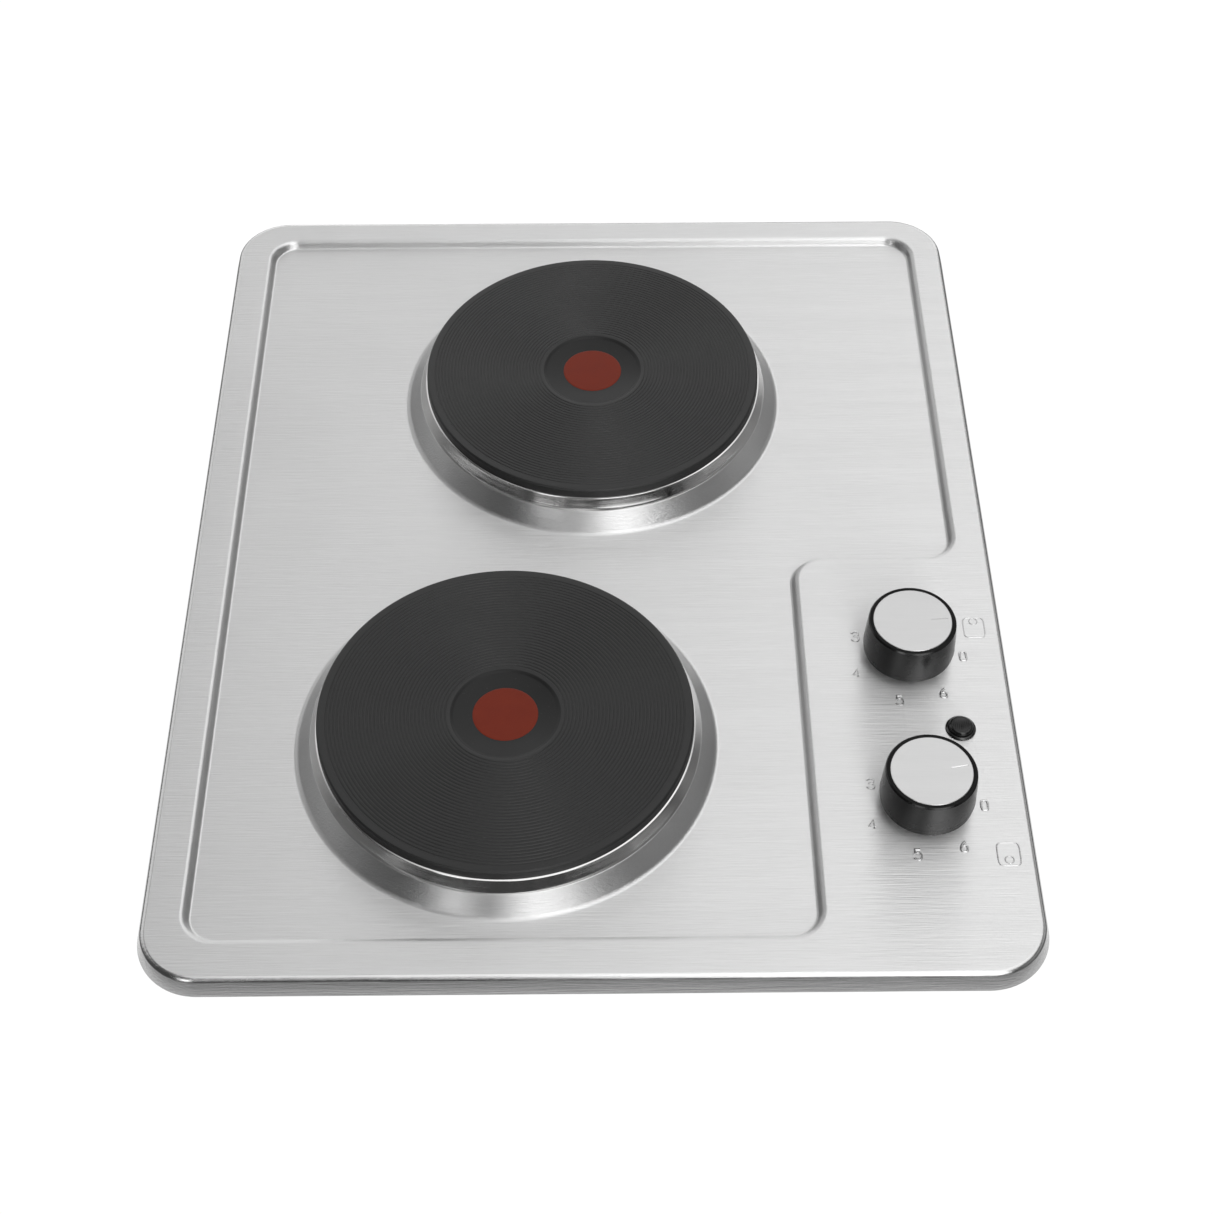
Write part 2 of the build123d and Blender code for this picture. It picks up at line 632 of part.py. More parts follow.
def pilot_lamp():
    """Black lamp housing, its dark lens, the neon inside and the spring clip under the panel."""
    wall, seat_z, edge_z, crest_z = 0.7, RIM_Z + 0.6, RIM_Z + 0.7, RIM_Z + 1.5
    bezel_section = (
        (LAMP_BODY_R - wall, LAMP_BOTTOM),
        (LAMP_BODY_R, LAMP_BOTTOM),
        (LAMP_BODY_R, RIM_Z),
        (LAMP_FLANGE_R, RIM_Z),
        (LAMP_FLANGE_R, edge_z),
        (LAMP_FLANGE_R - 0.9, crest_z),
        (LAMP_LENS_R, crest_z),
        (LAMP_LENS_R, seat_z),
        (LAMP_BODY_R - wall, seat_z),
    )
    with BuildPart() as bezel:
        revolve(upright_section(LAMP, bezel_section), axis=upright_axis(LAMP))
    save(bezel.part, "lamp_bezel")

    lens_round = 1.6
    with BuildPart() as lens:
        with BuildSketch(Plane((*LAMP, seat_z))):
            Circle(LAMP_LENS_R)
        extrude(amount=LAMP_TOP - seat_z)
        fillet(lens.faces().sort_by(Axis.Z)[-1].edges(), lens_round)
    save(lens.part, "lamp_lens")

    neon_r, neon_length, stand_off = 2.4, 14.0, 4.0
    with BuildPart() as neon:
        with BuildSketch(Plane((*LAMP, LAMP_BOTTOM + stand_off))):
            Circle(neon_r)
        extrude(amount=neon_length)
        fillet(neon.faces().sort_by(Axis.Z)[-1].edges(), neon_r - 0.3)
    save(neon.part, "lamp_neon")

    clip_length, clip_sheet, clip_gap = 20.0, 0.6, 3.0
    with BuildPart() as clip:
        with BuildSketch(Plane((*LAMP, PANEL_UNDERSIDE))):
            Rectangle(2 * LAMP_BODY_R + 0.8, clip_length)
            Circle(LAMP_BODY_R, mode=Mode.SUBTRACT)
            with Locations((-LAMP_BODY_R, 0)):
                Rectangle(clip_gap, clip_gap, mode=Mode.SUBTRACT)
        extrude(amount=-clip_sheet)
    save(clip.part, "lamp_clip")


def clamp_places():
    """Where each worktop clamp turns, by name: its axis in plan, and which side of the hob it is on."""
    for along, y in CLAMPS.items():
        for across, side in (("left", -1), ("right", 1)):
            yield f"{along}_{across}", (side * CLAMP_X, y), side


def bottom_casing():
    """Folded steel tray that closes the hob from below, vented under the plates."""
    tab_reach, tab_width, tab_sheet = 8.0, 14.0, 2.0
    panel_margin, hole_height, drill = 4.0, 24.0, 10.0
    floor_slot, floor_pitch = (34.0, 4.0), (44.0, 12.0)
    wall_slot, wall_pitch, vents_x = (22.0, 4.0), 12.0, -60.0
    with BuildPart() as casing:
        with BuildSketch():
            RectangleRounded(2 * CASING_X, 2 * CASING_Y, CASING_CORNER_R)
        extrude(amount=UNDERSIDE)
        with BuildSketch(Plane.XY.offset(UNDERSIDE)):
            with Locations((PANEL_LEFT + panel_margin, PANEL_BACK - panel_margin)):
                Rectangle(CASING_X, CASING_Y, align=(Align.MIN, Align.MAX))
            RectangleRounded(2 * CASING_X, 2 * CASING_Y, CASING_CORNER_R, mode=Mode.INTERSECT)
        extrude(amount=PANEL_UNDERSIDE - UNDERSIDE)
        with BuildSketch(Plane.XY.offset(SHEET)):
            RectangleRounded(2 * (CASING_X - SHEET), 2 * (CASING_Y - SHEET), CASING_CORNER_R - SHEET)
        extrude(amount=PANEL_UNDERSIDE, mode=Mode.SUBTRACT)
        with Locations(*[(x, y, 0) for x, y in (*PILLARS, PANEL_PILLAR)]):
            Cylinder(DIMPLE_R + SHEET, DIMPLE_RISE + SHEET, align=(Align.CENTER, Align.CENTER, Align.MIN))
            Cylinder(DIMPLE_R, 2 * DIMPLE_RISE, mode=Mode.SUBTRACT)
            Cylinder(CASING_SCREW_R + 0.2, drill, mode=Mode.SUBTRACT)
        with BuildSketch(Plane.XY):
            for centre in PLATES.values():
                with Locations(centre):
                    with GridLocations(*floor_pitch, 3, 7):
                        SlotOverall(*floor_slot)
        extrude(amount=2 * SHEET, mode=Mode.SUBTRACT)
        with BuildSketch(Plane(origin=(vents_x, CASING_Y, 0), x_dir=(1, 0, 0), z_dir=(0, -1, 0))):
            with Locations((0, hole_height)):
                with GridLocations(wall_pitch, 0, 10, 1):
                    SlotOverall(*wall_slot, rotation=90)
        extrude(amount=4 * SHEET, both=True, mode=Mode.SUBTRACT)
        with Locations((INLET_X, CASING_Y, INLET_Z)):
            Cylinder(INLET_HOLE_R, drill, rotation=(90, 0, 0), mode=Mode.SUBTRACT)
        for _, (x, y), side in clamp_places():
            with BuildSketch(Plane.XY.offset(CLAMP_TAB_Z)):
                with Locations((side * (CASING_X + tab_reach / 2), y)):
                    Rectangle(tab_reach, tab_width)
                with Locations((x, y)):
                    Circle(CLAMP_SCREW_R, mode=Mode.SUBTRACT)
            extrude(amount=tab_sheet)
    save(casing.part, "bottom_casing")


def casing_fixings():
    """Pillars welded under the top, and the screws that hold the casing to them."""
    pillar_bottom = DIMPLE_RISE + SHEET
    thread_depth = 12.0
    with BuildPart() as pillars:
        for places, top in ((PILLARS, UNDERSIDE), ((PANEL_PILLAR,), PANEL_UNDERSIDE)):
            with BuildSketch(Plane.XY.offset(pillar_bottom)):
                with Locations(*places):
                    RegularPolygon(PILLAR_R, 6)
            extrude(amount=top - pillar_bottom)
        with BuildSketch(Plane.XY.offset(pillar_bottom)):
            with Locations(*PILLARS, PANEL_PILLAR):
                Circle(CASING_SCREW_R)
        extrude(amount=thread_depth, mode=Mode.SUBTRACT)
    save(pillars.part, "case_pillars")

    head_r, head_height = 3.8, 2.2
    with BuildPart() as screws:
        with BuildSketch(Plane.XY.offset(DIMPLE_RISE)):
            with Locations(*PILLARS, PANEL_PILLAR):
                Circle(head_r)
        extrude(amount=-head_height)
        chamfer(screws.faces().filter_by(Axis.Z).group_by(Axis.Z)[0].edges(), 0.5)
        with BuildSketch(Plane.XY.offset(DIMPLE_RISE)):
            with Locations(*PILLARS, PANEL_PILLAR):
                Circle(CASING_SCREW_R)
        extrude(amount=thread_depth)
        with Locations(*[(x, y, DIMPLE_RISE - head_height) for x, y in (*PILLARS, PANEL_PILLAR)]):
            with PolarLocations(0, 2, angular_range=180):
                Box(5.0, 1.0, 2.0, mode=Mode.SUBTRACT)
    save(screws.part, "casing_screws")


def heat_shield():
    """Angled sheet wall that keeps the plates' heat away from the switches, with holes for the looms."""
    shield_x, shield_y, top = PANEL_LEFT + 7, -22.0, UNDERSIDE - 1.2
    front, foot_width, drill = -CASING_Y + 6.0, 8.0, 8.0
    hole_r = LOOM_R + 1.0
    with BuildPart() as shield:
        with BuildSketch(Plane.XY.offset(SHEET)):
            with Locations((shield_x, (front + shield_y) / 2)):
                Rectangle(SHEET, shield_y - front)
            with Locations((shield_x - SHEET / 2, shield_y)):
                Rectangle(CASING_X - SHEET - shield_x, SHEET, align=(Align.MIN, Align.CENTER))
        extrude(amount=top - SHEET)
        with BuildSketch(Plane.XY.offset(SHEET)):
            with Locations((shield_x - SHEET / 2, (front + shield_y) / 2)):
                Rectangle(foot_width, shield_y - front, align=(Align.MIN, Align.CENTER))
        extrude(amount=SHEET)
        with Locations((shield_x, KNOBS["front"][1], LOOM_Z)):
            Cylinder(hole_r, drill, rotation=(0, 90, 0), mode=Mode.SUBTRACT)
        with Locations((KNOBS["rear"][0], shield_y, LOOM_Z), (MAINS_LOOM_X, shield_y, MAINS_LOOM_Z)):
            Cylinder(hole_r, drill, rotation=(90, 0, 0), mode=Mode.SUBTRACT)
    save(shield.part, "heat_shield")


def loom(name, points):
    """One sleeved bundle of wires along straight runs joined by arcs."""
    with BuildPart() as bundle:
        with BuildLine() as route:
            FilletPolyline(*points, radius=LOOM_BEND_R)
        with BuildSketch(Plane(origin=route.line @ 0, z_dir=route.line % 0)):
            Circle(LOOM_R)
        sweep()
    save(bundle.part, name)


def looms():
    """Wiring from the plates to their switches, and from the mains terminals to the switches."""
    front_x, front_y = PLATES["front"]
    rear_x, rear_y = PLATES["rear"]
    knob_x, knob_y = KNOBS["front"]
    block_face = PLATE_BLOCK_OFFSET + PLATE_BLOCK_SIZE[0] / 2
    start_x, start_z = MAINS_LOOM_X - 12.0, 14.0
    loom(
        "front_plate_loom",
        (
            (front_x + block_face, front_y, PLATE_LOOM_Z),
            (66.0, front_y, PLATE_LOOM_Z),
            (84.0, knob_y, LOOM_Z),
            (knob_x - SWITCH_SIDE / 2, knob_y, LOOM_Z),
        ),
    )
    knob_x, knob_y = KNOBS["rear"]
    switch_back = knob_y + SWITCH_SIDE / 2
    loom(
        "rear_plate_loom",
        (
            (rear_x + block_face, rear_y, PLATE_LOOM_Z),
            (122.0, rear_y, PLATE_LOOM_Z),
            (knob_x, rear_y - 50.0, LOOM_Z),
            (knob_x, switch_back, LOOM_Z),
        ),
    )
    loom(
        "mains_loom",
        (
            (start_x, TERMINAL_AT[1] - TERMINAL_SIZE[1] / 2, start_z),
            (start_x, 60.0, start_z),
            (MAINS_LOOM_X, 20.0, MAINS_LOOM_Z),
            (MAINS_LOOM_X, switch_back, MAINS_LOOM_Z),
        ),
    )


def mains_inlet():
    """Cable gland in the back wall, the mains terminal block and its screws, and the earth stud."""
    flange_r, outside, inside = 11.0, 6.5, 13.0
    axis = Axis((INLET_X, 0, INLET_Z), (0, 1, 0))
    y_in = CASING_Y - SHEET
    section = (
        (INLET_BORE_R, y_in - inside),
        (INLET_HOLE_R - 1.5, y_in - inside),
        (INLET_HOLE_R, y_in - inside + 3.0),
        (INLET_HOLE_R, CASING_Y),
        (flange_r, CASING_Y),
        (flange_r, CASING_Y + 2.5),
        (INLET_BORE_R + 2.2, CASING_Y + outside),
        (INLET_BORE_R, CASING_Y + outside),
    )
    with BuildPart() as gland:
        with BuildSketch(Plane(origin=(INLET_X, 0, INLET_Z), x_dir=(1, 0, 0), z_dir=(0, 0, 1))):
            with BuildLine():
                Polyline(*section, close=True)
            make_face()
        revolve(axis=axis)
    save(gland.part, "cable_gland")

    x, y = TERMINAL_AT
    poles, screw_r, wire_hole_r, wire_hole_z = (10.0, 0, 5, 1), 2.0, 1.4, SHEET + 15.5
    length, depth, height = TERMINAL_SIZE
    with BuildPart() as block:
        with Locations((x, y, SHEET)):
            Box(length, depth, height, align=(Align.CENTER, Align.CENTER, Align.MIN))
        fillet(block.edges().filter_by(Axis.Z), 1.5)
        with Locations((x, y, SHEET + height)):
            with GridLocations(*poles):
                Cylinder(screw_r, 12.0, mode=Mode.SUBTRACT)
        with BuildSketch(Plane(origin=(x, y + depth / 2, wire_hole_z), x_dir=(1, 0, 0), z_dir=(0, -1, 0))):
            with GridLocations(*poles):
                Circle(wire_hole_r)
        extrude(amount=7.0, mode=Mode.SUBTRACT)
    save(block.part, "mains_terminal_block")

    with BuildPart() as screws:
        with Locations((x, y, SHEET + height)):
            with GridLocations(*poles):
                Cylinder(screw_r, 6.0, align=(Align.CENTER, Align.CENTER, Align.MAX))
                Box(2 * screw_r, 0.8, 1.6, mode=Mode.SUBTRACT)
    save(screws.part, "terminal_screws")

    earth_at, stud_r, stud_height = (60.0, 205.0), 2.0, 12.0
    washer_r, washer_thick, nut_inner_r, nut_height = 5.0, 0.8, 3.5, 3.2
    with BuildPart() as earth:
        with BuildSketch(Plane((*earth_at, SHEET))):
            Circle(stud_r)
        extrude(amount=stud_height)
        with BuildSketch(Plane((*earth_at, SHEET))):
            Circle(washer_r)
        extrude(amount=washer_thick)
        with BuildSketch(Plane((*earth_at, SHEET + washer_thick))):
            RegularPolygon(nut_inner_r, 6, major_radius=False)
        extrude(amount=nut_height)
    save(earth.part, "earth_stud")


def worktop_clamps():
    """Swivelling clamps that grip the worktop from below, with the long screws that they turn on."""
    head_r, head_height = 3.4, 3.0
    head_z, screw_top = CLAMP_Z - head_height - 0.2, CLAMP_TAB_Z + 5.0
    with BuildPart() as screws:
        for _, axis_at, _ in clamp_places():
            with BuildSketch(Plane((*axis_at, head_z))):
                Circle(head_r)
            extrude(amount=head_height)
            with BuildSketch(Plane((*axis_at, head_z))):
                Circle(CLAMP_SCREW_R)
            extrude(amount=screw_top - head_z)
            with Locations((*axis_at, head_z)):
                Box(2 * head_r, 1.0, 2.0, mode=Mode.SUBTRACT)
    save(screws.part, "clamp_screws")

    tip_length, tip_height = 2.0, 4.0
    for name, (x, y), _ in clamp_places():
        with BuildPart() as clamp:
            with BuildSketch(Plane((x, y, CLAMP_Z))):
                with Locations((0, CLAMP_LENGTH / 2)):
                    Rectangle(CLAMP_WIDTH, CLAMP_LENGTH)
                Circle(CLAMP_WIDTH / 2)
                Circle(CLAMP_SCREW_R + SHAFT_FIT, mode=Mode.SUBTRACT)
            extrude(amount=CLAMP_SHEET)
            with Locations((x, y + CLAMP_LENGTH - tip_length / 2, CLAMP_Z)):
                Box(
                    CLAMP_WIDTH,
                    tip_length,
                    CLAMP_SHEET + tip_height,
                    align=(Align.CENTER, Align.CENTER, Align.MIN),
                )
        save(clamp.part, f"clamp_{name}")


hob_top()
rim_seal()
for end, centre in PLATES.items():
    hotplate(end, centre)
    red_spot(end, centre)
    trim_ring(end, centre)
    heater(end, centre)
    plate_fixing(end, centre)
    plate_electrics(end, centre)
stud_nuts()
terminal_pins()
for end, centre in KNOBS.items():
    knob(end, centre)
    switch_shaft(end, centre)
    switch(end, centre)
    shaft_seal(end, centre)
switch_bracket()
pilot_lamp()
bottom_casing()
casing_fixings()
heat_shield()
looms()
mains_inlet()
worktop_clamps()
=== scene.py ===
"""Looks for the built-in two-plate electric hob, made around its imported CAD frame. Lengths are in metres."""

import json
import math

import bmesh
import bpy
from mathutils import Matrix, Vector


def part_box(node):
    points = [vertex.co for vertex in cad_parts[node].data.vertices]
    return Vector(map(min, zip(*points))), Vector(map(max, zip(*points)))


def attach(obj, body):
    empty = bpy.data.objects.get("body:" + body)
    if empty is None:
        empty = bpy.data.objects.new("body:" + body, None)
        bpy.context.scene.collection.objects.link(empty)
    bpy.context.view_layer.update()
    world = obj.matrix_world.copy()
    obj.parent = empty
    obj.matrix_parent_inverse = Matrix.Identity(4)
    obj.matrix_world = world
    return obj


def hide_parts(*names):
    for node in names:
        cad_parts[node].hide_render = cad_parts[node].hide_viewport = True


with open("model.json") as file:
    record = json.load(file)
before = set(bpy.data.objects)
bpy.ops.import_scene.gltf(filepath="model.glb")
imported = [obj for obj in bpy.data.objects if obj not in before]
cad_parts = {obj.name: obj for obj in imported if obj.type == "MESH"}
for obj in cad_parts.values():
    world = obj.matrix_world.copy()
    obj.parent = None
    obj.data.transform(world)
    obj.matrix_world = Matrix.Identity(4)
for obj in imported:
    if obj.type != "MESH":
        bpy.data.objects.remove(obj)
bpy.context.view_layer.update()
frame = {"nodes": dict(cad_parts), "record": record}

MM = 0.001
TINY = 1e-7
ENDS = ("front", "rear")

# Heights of the pressed top, from the frame, and the solved camera, with its angles in degrees
LIP_HEIGHT = 10 * MM
RIM_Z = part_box("hob_top")[0].z + LIP_HEIGHT
COLLAR_TOP_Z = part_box("hob_top")[1].z
SENSOR_WIDTH = 36.0
CAMERA_AT = (2.0 * MM, -732.2 * MM, RIM_Z + 832.4 * MM)
CAMERA_TILT = 39.68
CAMERA_TURN = -0.516
CAMERA_LENS = 64.08
CAMERA_SHIFT = -0.00105


def middle(node):
    """The plan position of a turned CAD node's axis, and its box."""
    low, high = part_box(node)
    return (low.x + high.x) / 2, (low.y + high.y) / 2, low, high


# ---------------------------------------------------------------- mesh helpers

UP = Vector((0, 0, 1))
SHARP_ANGLE = 32.0
EDGE_STEPS = 4


def finished(name, mesh_data, mat, body, replaced=()):
    """Links a mesh as a piece of the object, riding on its body with its material."""
    piece = bpy.data.objects.new(name, mesh_data)
    bpy.context.scene.collection.objects.link(piece)
    mesh_data.materials.append(mat)
    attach(piece, body)
    if replaced:
        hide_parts(*replaced)
    return piece


def smooth_by_angle(mesh_data, degrees=SHARP_ANGLE):
    """Smooth shading, with an edge kept sharp where its two faces meet at more than the angle."""
    mesh_data.polygons.foreach_set("use_smooth", [True] * len(mesh_data.polygons))
    mesh_data.set_sharp_from_angle(angle=math.radians(degrees))


def round_corners(points, radii, steps):
    """The (radius, height) points with each corner replaced by an arc of its own radius."""
    result = []
    count = len(points)
    for i, (point, radius) in enumerate(zip(points, radii)):
        here = Vector(point)
        before = Vector(points[i - 1]) - here
        after = Vector(points[(i + 1) % count]) - here
        if radius <= 0:
            result.append((here.x, here.y))
            continue
        half = before.angle(after) / 2
        reach = radius / math.tan(half)
        start = here + before.normalized() * reach
        end = here + after.normalized() * reach
        inward = (before.normalized() + after.normalized()).normalized()
        centre = here + inward * (radius / math.sin(half))
        first, last = start - centre, end - centre
        for step in range(steps + 1):
            spoke = first.lerp(last, step / steps).normalized() * radius
            result.append((centre.x + spoke.x, centre.y + spoke.y))
    return result


def lathe(name, profile, centre, segments, closed=False):
    """A mesh turned about the upright axis at centre from (radius, height) points."""
    mesh_data = bpy.data.meshes.new(name)
    work = bmesh.new()
    x, y = centre
    rings = []
    for radius, height in profile:
        if radius < TINY:
            rings.append([work.verts.new((x, y, height))])
            continue
        ring = []
        for step in range(segments):
            angle = 2 * math.pi * step / segments
            ring.append(work.verts.new((x + radius * math.cos(angle), y + radius * math.sin(angle), height)))
        rings.append(ring)
    pairs = list(zip(rings, rings[1:]))
    if closed:
        pairs.append((rings[-1], rings[0]))
    for inner, outer in pairs:
        for step in range(segments):
            after = (step + 1) % segments
            if len(inner) == 1:
                work.faces.new((inner[0], outer[step], outer[after]))
            elif len(outer) == 1:
                work.faces.new((inner[step], outer[0], inner[after]))
            else:
                work.faces.new((inner[step], outer[step], outer[after], inner[after]))
    bmesh.ops.recalc_face_normals(work, faces=work.faces)
    work.to_mesh(mesh_data)
    work.free()
    smooth_by_angle(mesh_data)
    return mesh_data


# ---------------------------------------------------------------- material helpers


def new_material(name):
    """A node material, as its tree and its Principled shader."""
    mat = bpy.data.materials.new(name)
    mat.use_nodes = True
    return mat, mat.node_tree, mat.node_tree.nodes["Principled BSDF"]


def put(tree, kind, **inputs):
    """A node of the given kind, with its inputs set or linked, each by its name or as _0, _1 by its place."""
    made = tree.nodes.new(kind)
    for key, value in inputs.items():
        socket = made.inputs[int(key[1:])] if key[0] == "_" and key[1:].isdigit() else made.inputs[key]
        if isinstance(value, bpy.types.NodeSocket):
            tree.links.new(value, socket)
        else:
            socket.default_value = value
    return made


def calc(tree, operation, first, second):
    """The result of one Math node."""
    made = put(tree, "ShaderNodeMath", _0=first, _1=second)
    made.operation = operation
    return made.outputs[0]


def ramp(tree, value, low, high, start=0.0, end=1.0):
    """value mapped smoothly from low..high to start..end, and held beyond them."""
    made = tree.nodes.new("ShaderNodeMapRange")
    made.interpolation_type = "SMOOTHSTEP"
    for socket, number in zip(made.inputs[1:5], (low, high, start, end)):
        socket.default_value = number
    tree.links.new(value, made.inputs[0])
    return made.outputs[0]


def place(tree, scale=(1, 1, 1), turn=(0, 0, 0)):
    """Object coordinates, scaled and turned."""
    coords = tree.nodes.new("ShaderNodeTexCoord")
    mapping = put(tree, "ShaderNodeMapping", Vector=coords.outputs["Object"], Scale=scale, Rotation=turn)
    return mapping.outputs[0]


def noise(tree, where, scale, detail, roughness=0.55):
    """A noise value at that scale."""
    made = put(tree, "ShaderNodeTexNoise", Vector=where, Scale=scale, Detail=detail, Roughness=roughness)
    return made.outputs["Fac"]


def tint(tree, value, dark, light):
    """A colour between two, by value."""
    made = tree.nodes.new("ShaderNodeMix")
    made.data_type = "RGBA"
    tree.links.new(value, made.inputs["Factor"])
    made.inputs[6].default_value = (*dark, 1)
    made.inputs[7].default_value = (*light, 1)
    return made.outputs[2]


def bump(tree, height, distance, strength):
    """A bump normal from a height."""
    return put(tree, "ShaderNodeBump", Height=height, Distance=distance, Strength=strength).outputs[0]


def grey(value, warm=0.0):
    """A nearly neutral colour."""
    return (value * (1 + warm), value, value * (1 - warm))


# ---------------------------------------------------------------- materials

# Noise scales count features per metre, and bump distances are in metres

def brushed_sheet(name, level, roughness, anisotropy, grain=1.0):
    """Stainless sheet brushed along X: long grain, highlights stretched across it, faint smudges."""
    mat, tree, shader = new_material(name)
    fine = noise(tree, place(tree, (70, 2200, 2200)), 1.0, 5.0, 0.65)
    scratch = noise(tree, place(tree, (50, 950, 950)), 1.0, 2.0)
    broad = noise(tree, place(tree, (6, 160, 160)), 1.0, 3.0)
    smudge = noise(tree, place(tree), 9.0, 4.0)
    streak = calc(tree, "ADD", calc(tree, "MULTIPLY", fine, 0.65), calc(tree, "MULTIPLY", broad, 0.35))
    shade = ramp(tree, streak, 0.36, 0.64)
    colour = tint(tree, shade, grey(level * (1 - 0.03 * grain)), grey(level * 1.03))
    tree.links.new(colour, shader.inputs["Base Color"])
    rubbed = ramp(tree, streak, 0.3, 0.7, -0.02, 0.04)
    greasy = ramp(tree, smudge, 0.3, 0.7, roughness, roughness + 0.04)
    tree.links.new(calc(tree, "ADD", rubbed, greasy), shader.inputs["Roughness"])
    relief = calc(tree, "ADD", streak, scratch)
    tree.links.new(bump(tree, relief, 0.00024 * grain, 0.6), shader.inputs["Normal"])
    shader.inputs["Metallic"].default_value = 1.0
    shader.inputs["Anisotropic"].default_value = anisotropy
    normal = tree.nodes.new("ShaderNodeNewGeometry").outputs["Normal"]
    across = put(tree, "ShaderNodeVectorMath", _0=normal, _1=(1.0, 0.0, 0.0))
    across.operation = "CROSS_PRODUCT"
    tree.links.new(across.outputs[0], shader.inputs["Tangent"])
    return mat


def polished_steel(name):
    """Mirror-bright trim with faint turned lines and cloudy marks."""
    mat, tree, shader = new_material(name)
    cloud = noise(tree, place(tree), 60.0, 4.0)
    colour = tint(tree, cloud, grey(0.66, 0.005), grey(0.76, 0.005))
    tree.links.new(colour, shader.inputs["Base Color"])
    tree.links.new(ramp(tree, cloud, 0.3, 0.7, 0.07, 0.16), shader.inputs["Roughness"])
    rings = noise(tree, place(tree, (1, 1, 1500)), 3.0, 3.0)
    tree.links.new(bump(tree, rings, 0.00003, 0.4), shader.inputs["Normal"])
    shader.inputs["Metallic"].default_value = 1.0
    return mat


def cast_iron(name, specular):
    """Black-coated iron with a fine sandy surface, pale dust and darker patches."""
    mat, tree, shader = new_material(name)
    sand = noise(tree, place(tree), 2600.0, 3.0, 0.7)
    patch = noise(tree, place(tree), 28.0, 5.0)
    dust = ramp(tree, noise(tree, place(tree), 900.0, 2.0), 0.68, 0.76)
    base = tint(tree, patch, grey(0.008), grey(0.013))
    dusted = tree.nodes.new("ShaderNodeMix")
    dusted.data_type = "RGBA"
    tree.links.new(calc(tree, "MULTIPLY", dust, 0.25), dusted.inputs["Factor"])
    tree.links.new(base, dusted.inputs[6])
    dusted.inputs[7].default_value = (*grey(0.07), 1)
    tree.links.new(dusted.outputs[2], shader.inputs["Base Color"])
    tree.links.new(ramp(tree, patch, 0.3, 0.7, 0.42, 0.52), shader.inputs["Roughness"])
    tree.links.new(bump(tree, sand, 0.00004, 0.5), shader.inputs["Normal"])
    shader.inputs["Specular IOR Level"].default_value = specular
    return mat


def enamel(name):
    """Satin red enamel with slightly uneven colour and tiny pits."""
    mat, tree, shader = new_material(name)
    patch = noise(tree, place(tree), 130.0, 5.0)
    pits = ramp(tree, noise(tree, place(tree), 1100.0, 2.0), 0.3, 0.36)
    colour = tint(tree, patch, (0.15, 0.017, 0.007), (0.185, 0.023, 0.009))
    tree.links.new(colour, shader.inputs["Base Color"])
    tree.links.new(ramp(tree, patch, 0.3, 0.7, 0.4, 0.52), shader.inputs["Roughness"])
    tree.links.new(bump(tree, pits, 0.00005, 0.5), shader.inputs["Normal"])
    shader.inputs["Specular IOR Level"].default_value = 0.15
    return mat


def moulded(name, level, roughness, scale=2200.0, depth=0.00003, specular=0.5, upper=None):
    """Moulded plastic or rubber with a fine grain and slight wear; upper is its upper faces' own specular."""
    mat, tree, shader = new_material(name)
    grain = noise(tree, place(tree), scale, 3.0, 0.6)
    worn = noise(tree, place(tree), 90.0, 4.0)
    tree.links.new(tint(tree, worn, grey(level * 0.85), grey(level * 1.2)), shader.inputs["Base Color"])
    tree.links.new(ramp(tree, worn, 0.3, 0.7, roughness - 0.05, roughness + 0.06), shader.inputs["Roughness"])
    tree.links.new(bump(tree, grain, depth, 0.5), shader.inputs["Normal"])
    shader.inputs["Specular IOR Level"].default_value = specular
    if upper is not None:
        normal = tree.nodes.new("ShaderNodeNewGeometry").outputs["Normal"]
        facing_up = put(tree, "ShaderNodeSeparateXYZ", Vector=normal).outputs[2]
        tree.links.new(ramp(tree, facing_up, 0.3, 0.9, specular, upper), shader.inputs["Specular IOR Level"])
    return mat


def coloured(name, dark, light, roughness, metallic=0.0):
    """A plain solid finish with its own mottling, for the hidden pieces."""
    mat, tree, shader = new_material(name)
    cloud = noise(tree, place(tree), 300.0, 4.0)
    grain = noise(tree, place(tree), 1800.0, 2.0)
    tree.links.new(tint(tree, cloud, dark, light), shader.inputs["Base Color"])
    rough = ramp(tree, cloud, 0.3, 0.7, roughness - 0.06, roughness + 0.06)
    tree.links.new(rough, shader.inputs["Roughness"])
    tree.links.new(bump(tree, grain, 0.00004, 0.5), shader.inputs["Normal"])
    shader.inputs["Metallic"].default_value = metallic
    return mat


def galvanised(name):
    """Zinc-coated sheet with its crystal spangle."""
    mat, tree, shader = new_material(name)
    cells = put(tree, "ShaderNodeTexVoronoi", Vector=place(tree), Scale=140.0)
    cloud = noise(tree, place(tree), 24.0, 4.0)
    tree.links.new(tint(tree, cells.outputs["Color"], grey(0.42), grey(0.55)), shader.inputs["Base Color"])
    rough = ramp(tree, cells.outputs["Distance"], 0.0, 1.0, 0.3, 0.42)
    stained = ramp(tree, cloud, 0.3, 0.7, -0.05, 0.08)
    tree.links.new(calc(tree, "ADD", rough, stained), shader.inputs["Roughness"])
    tree.links.new(bump(tree, cloud, 0.0001, 0.2), shader.inputs["Normal"])
    shader.inputs["Metallic"].default_value = 1.0
    return mat


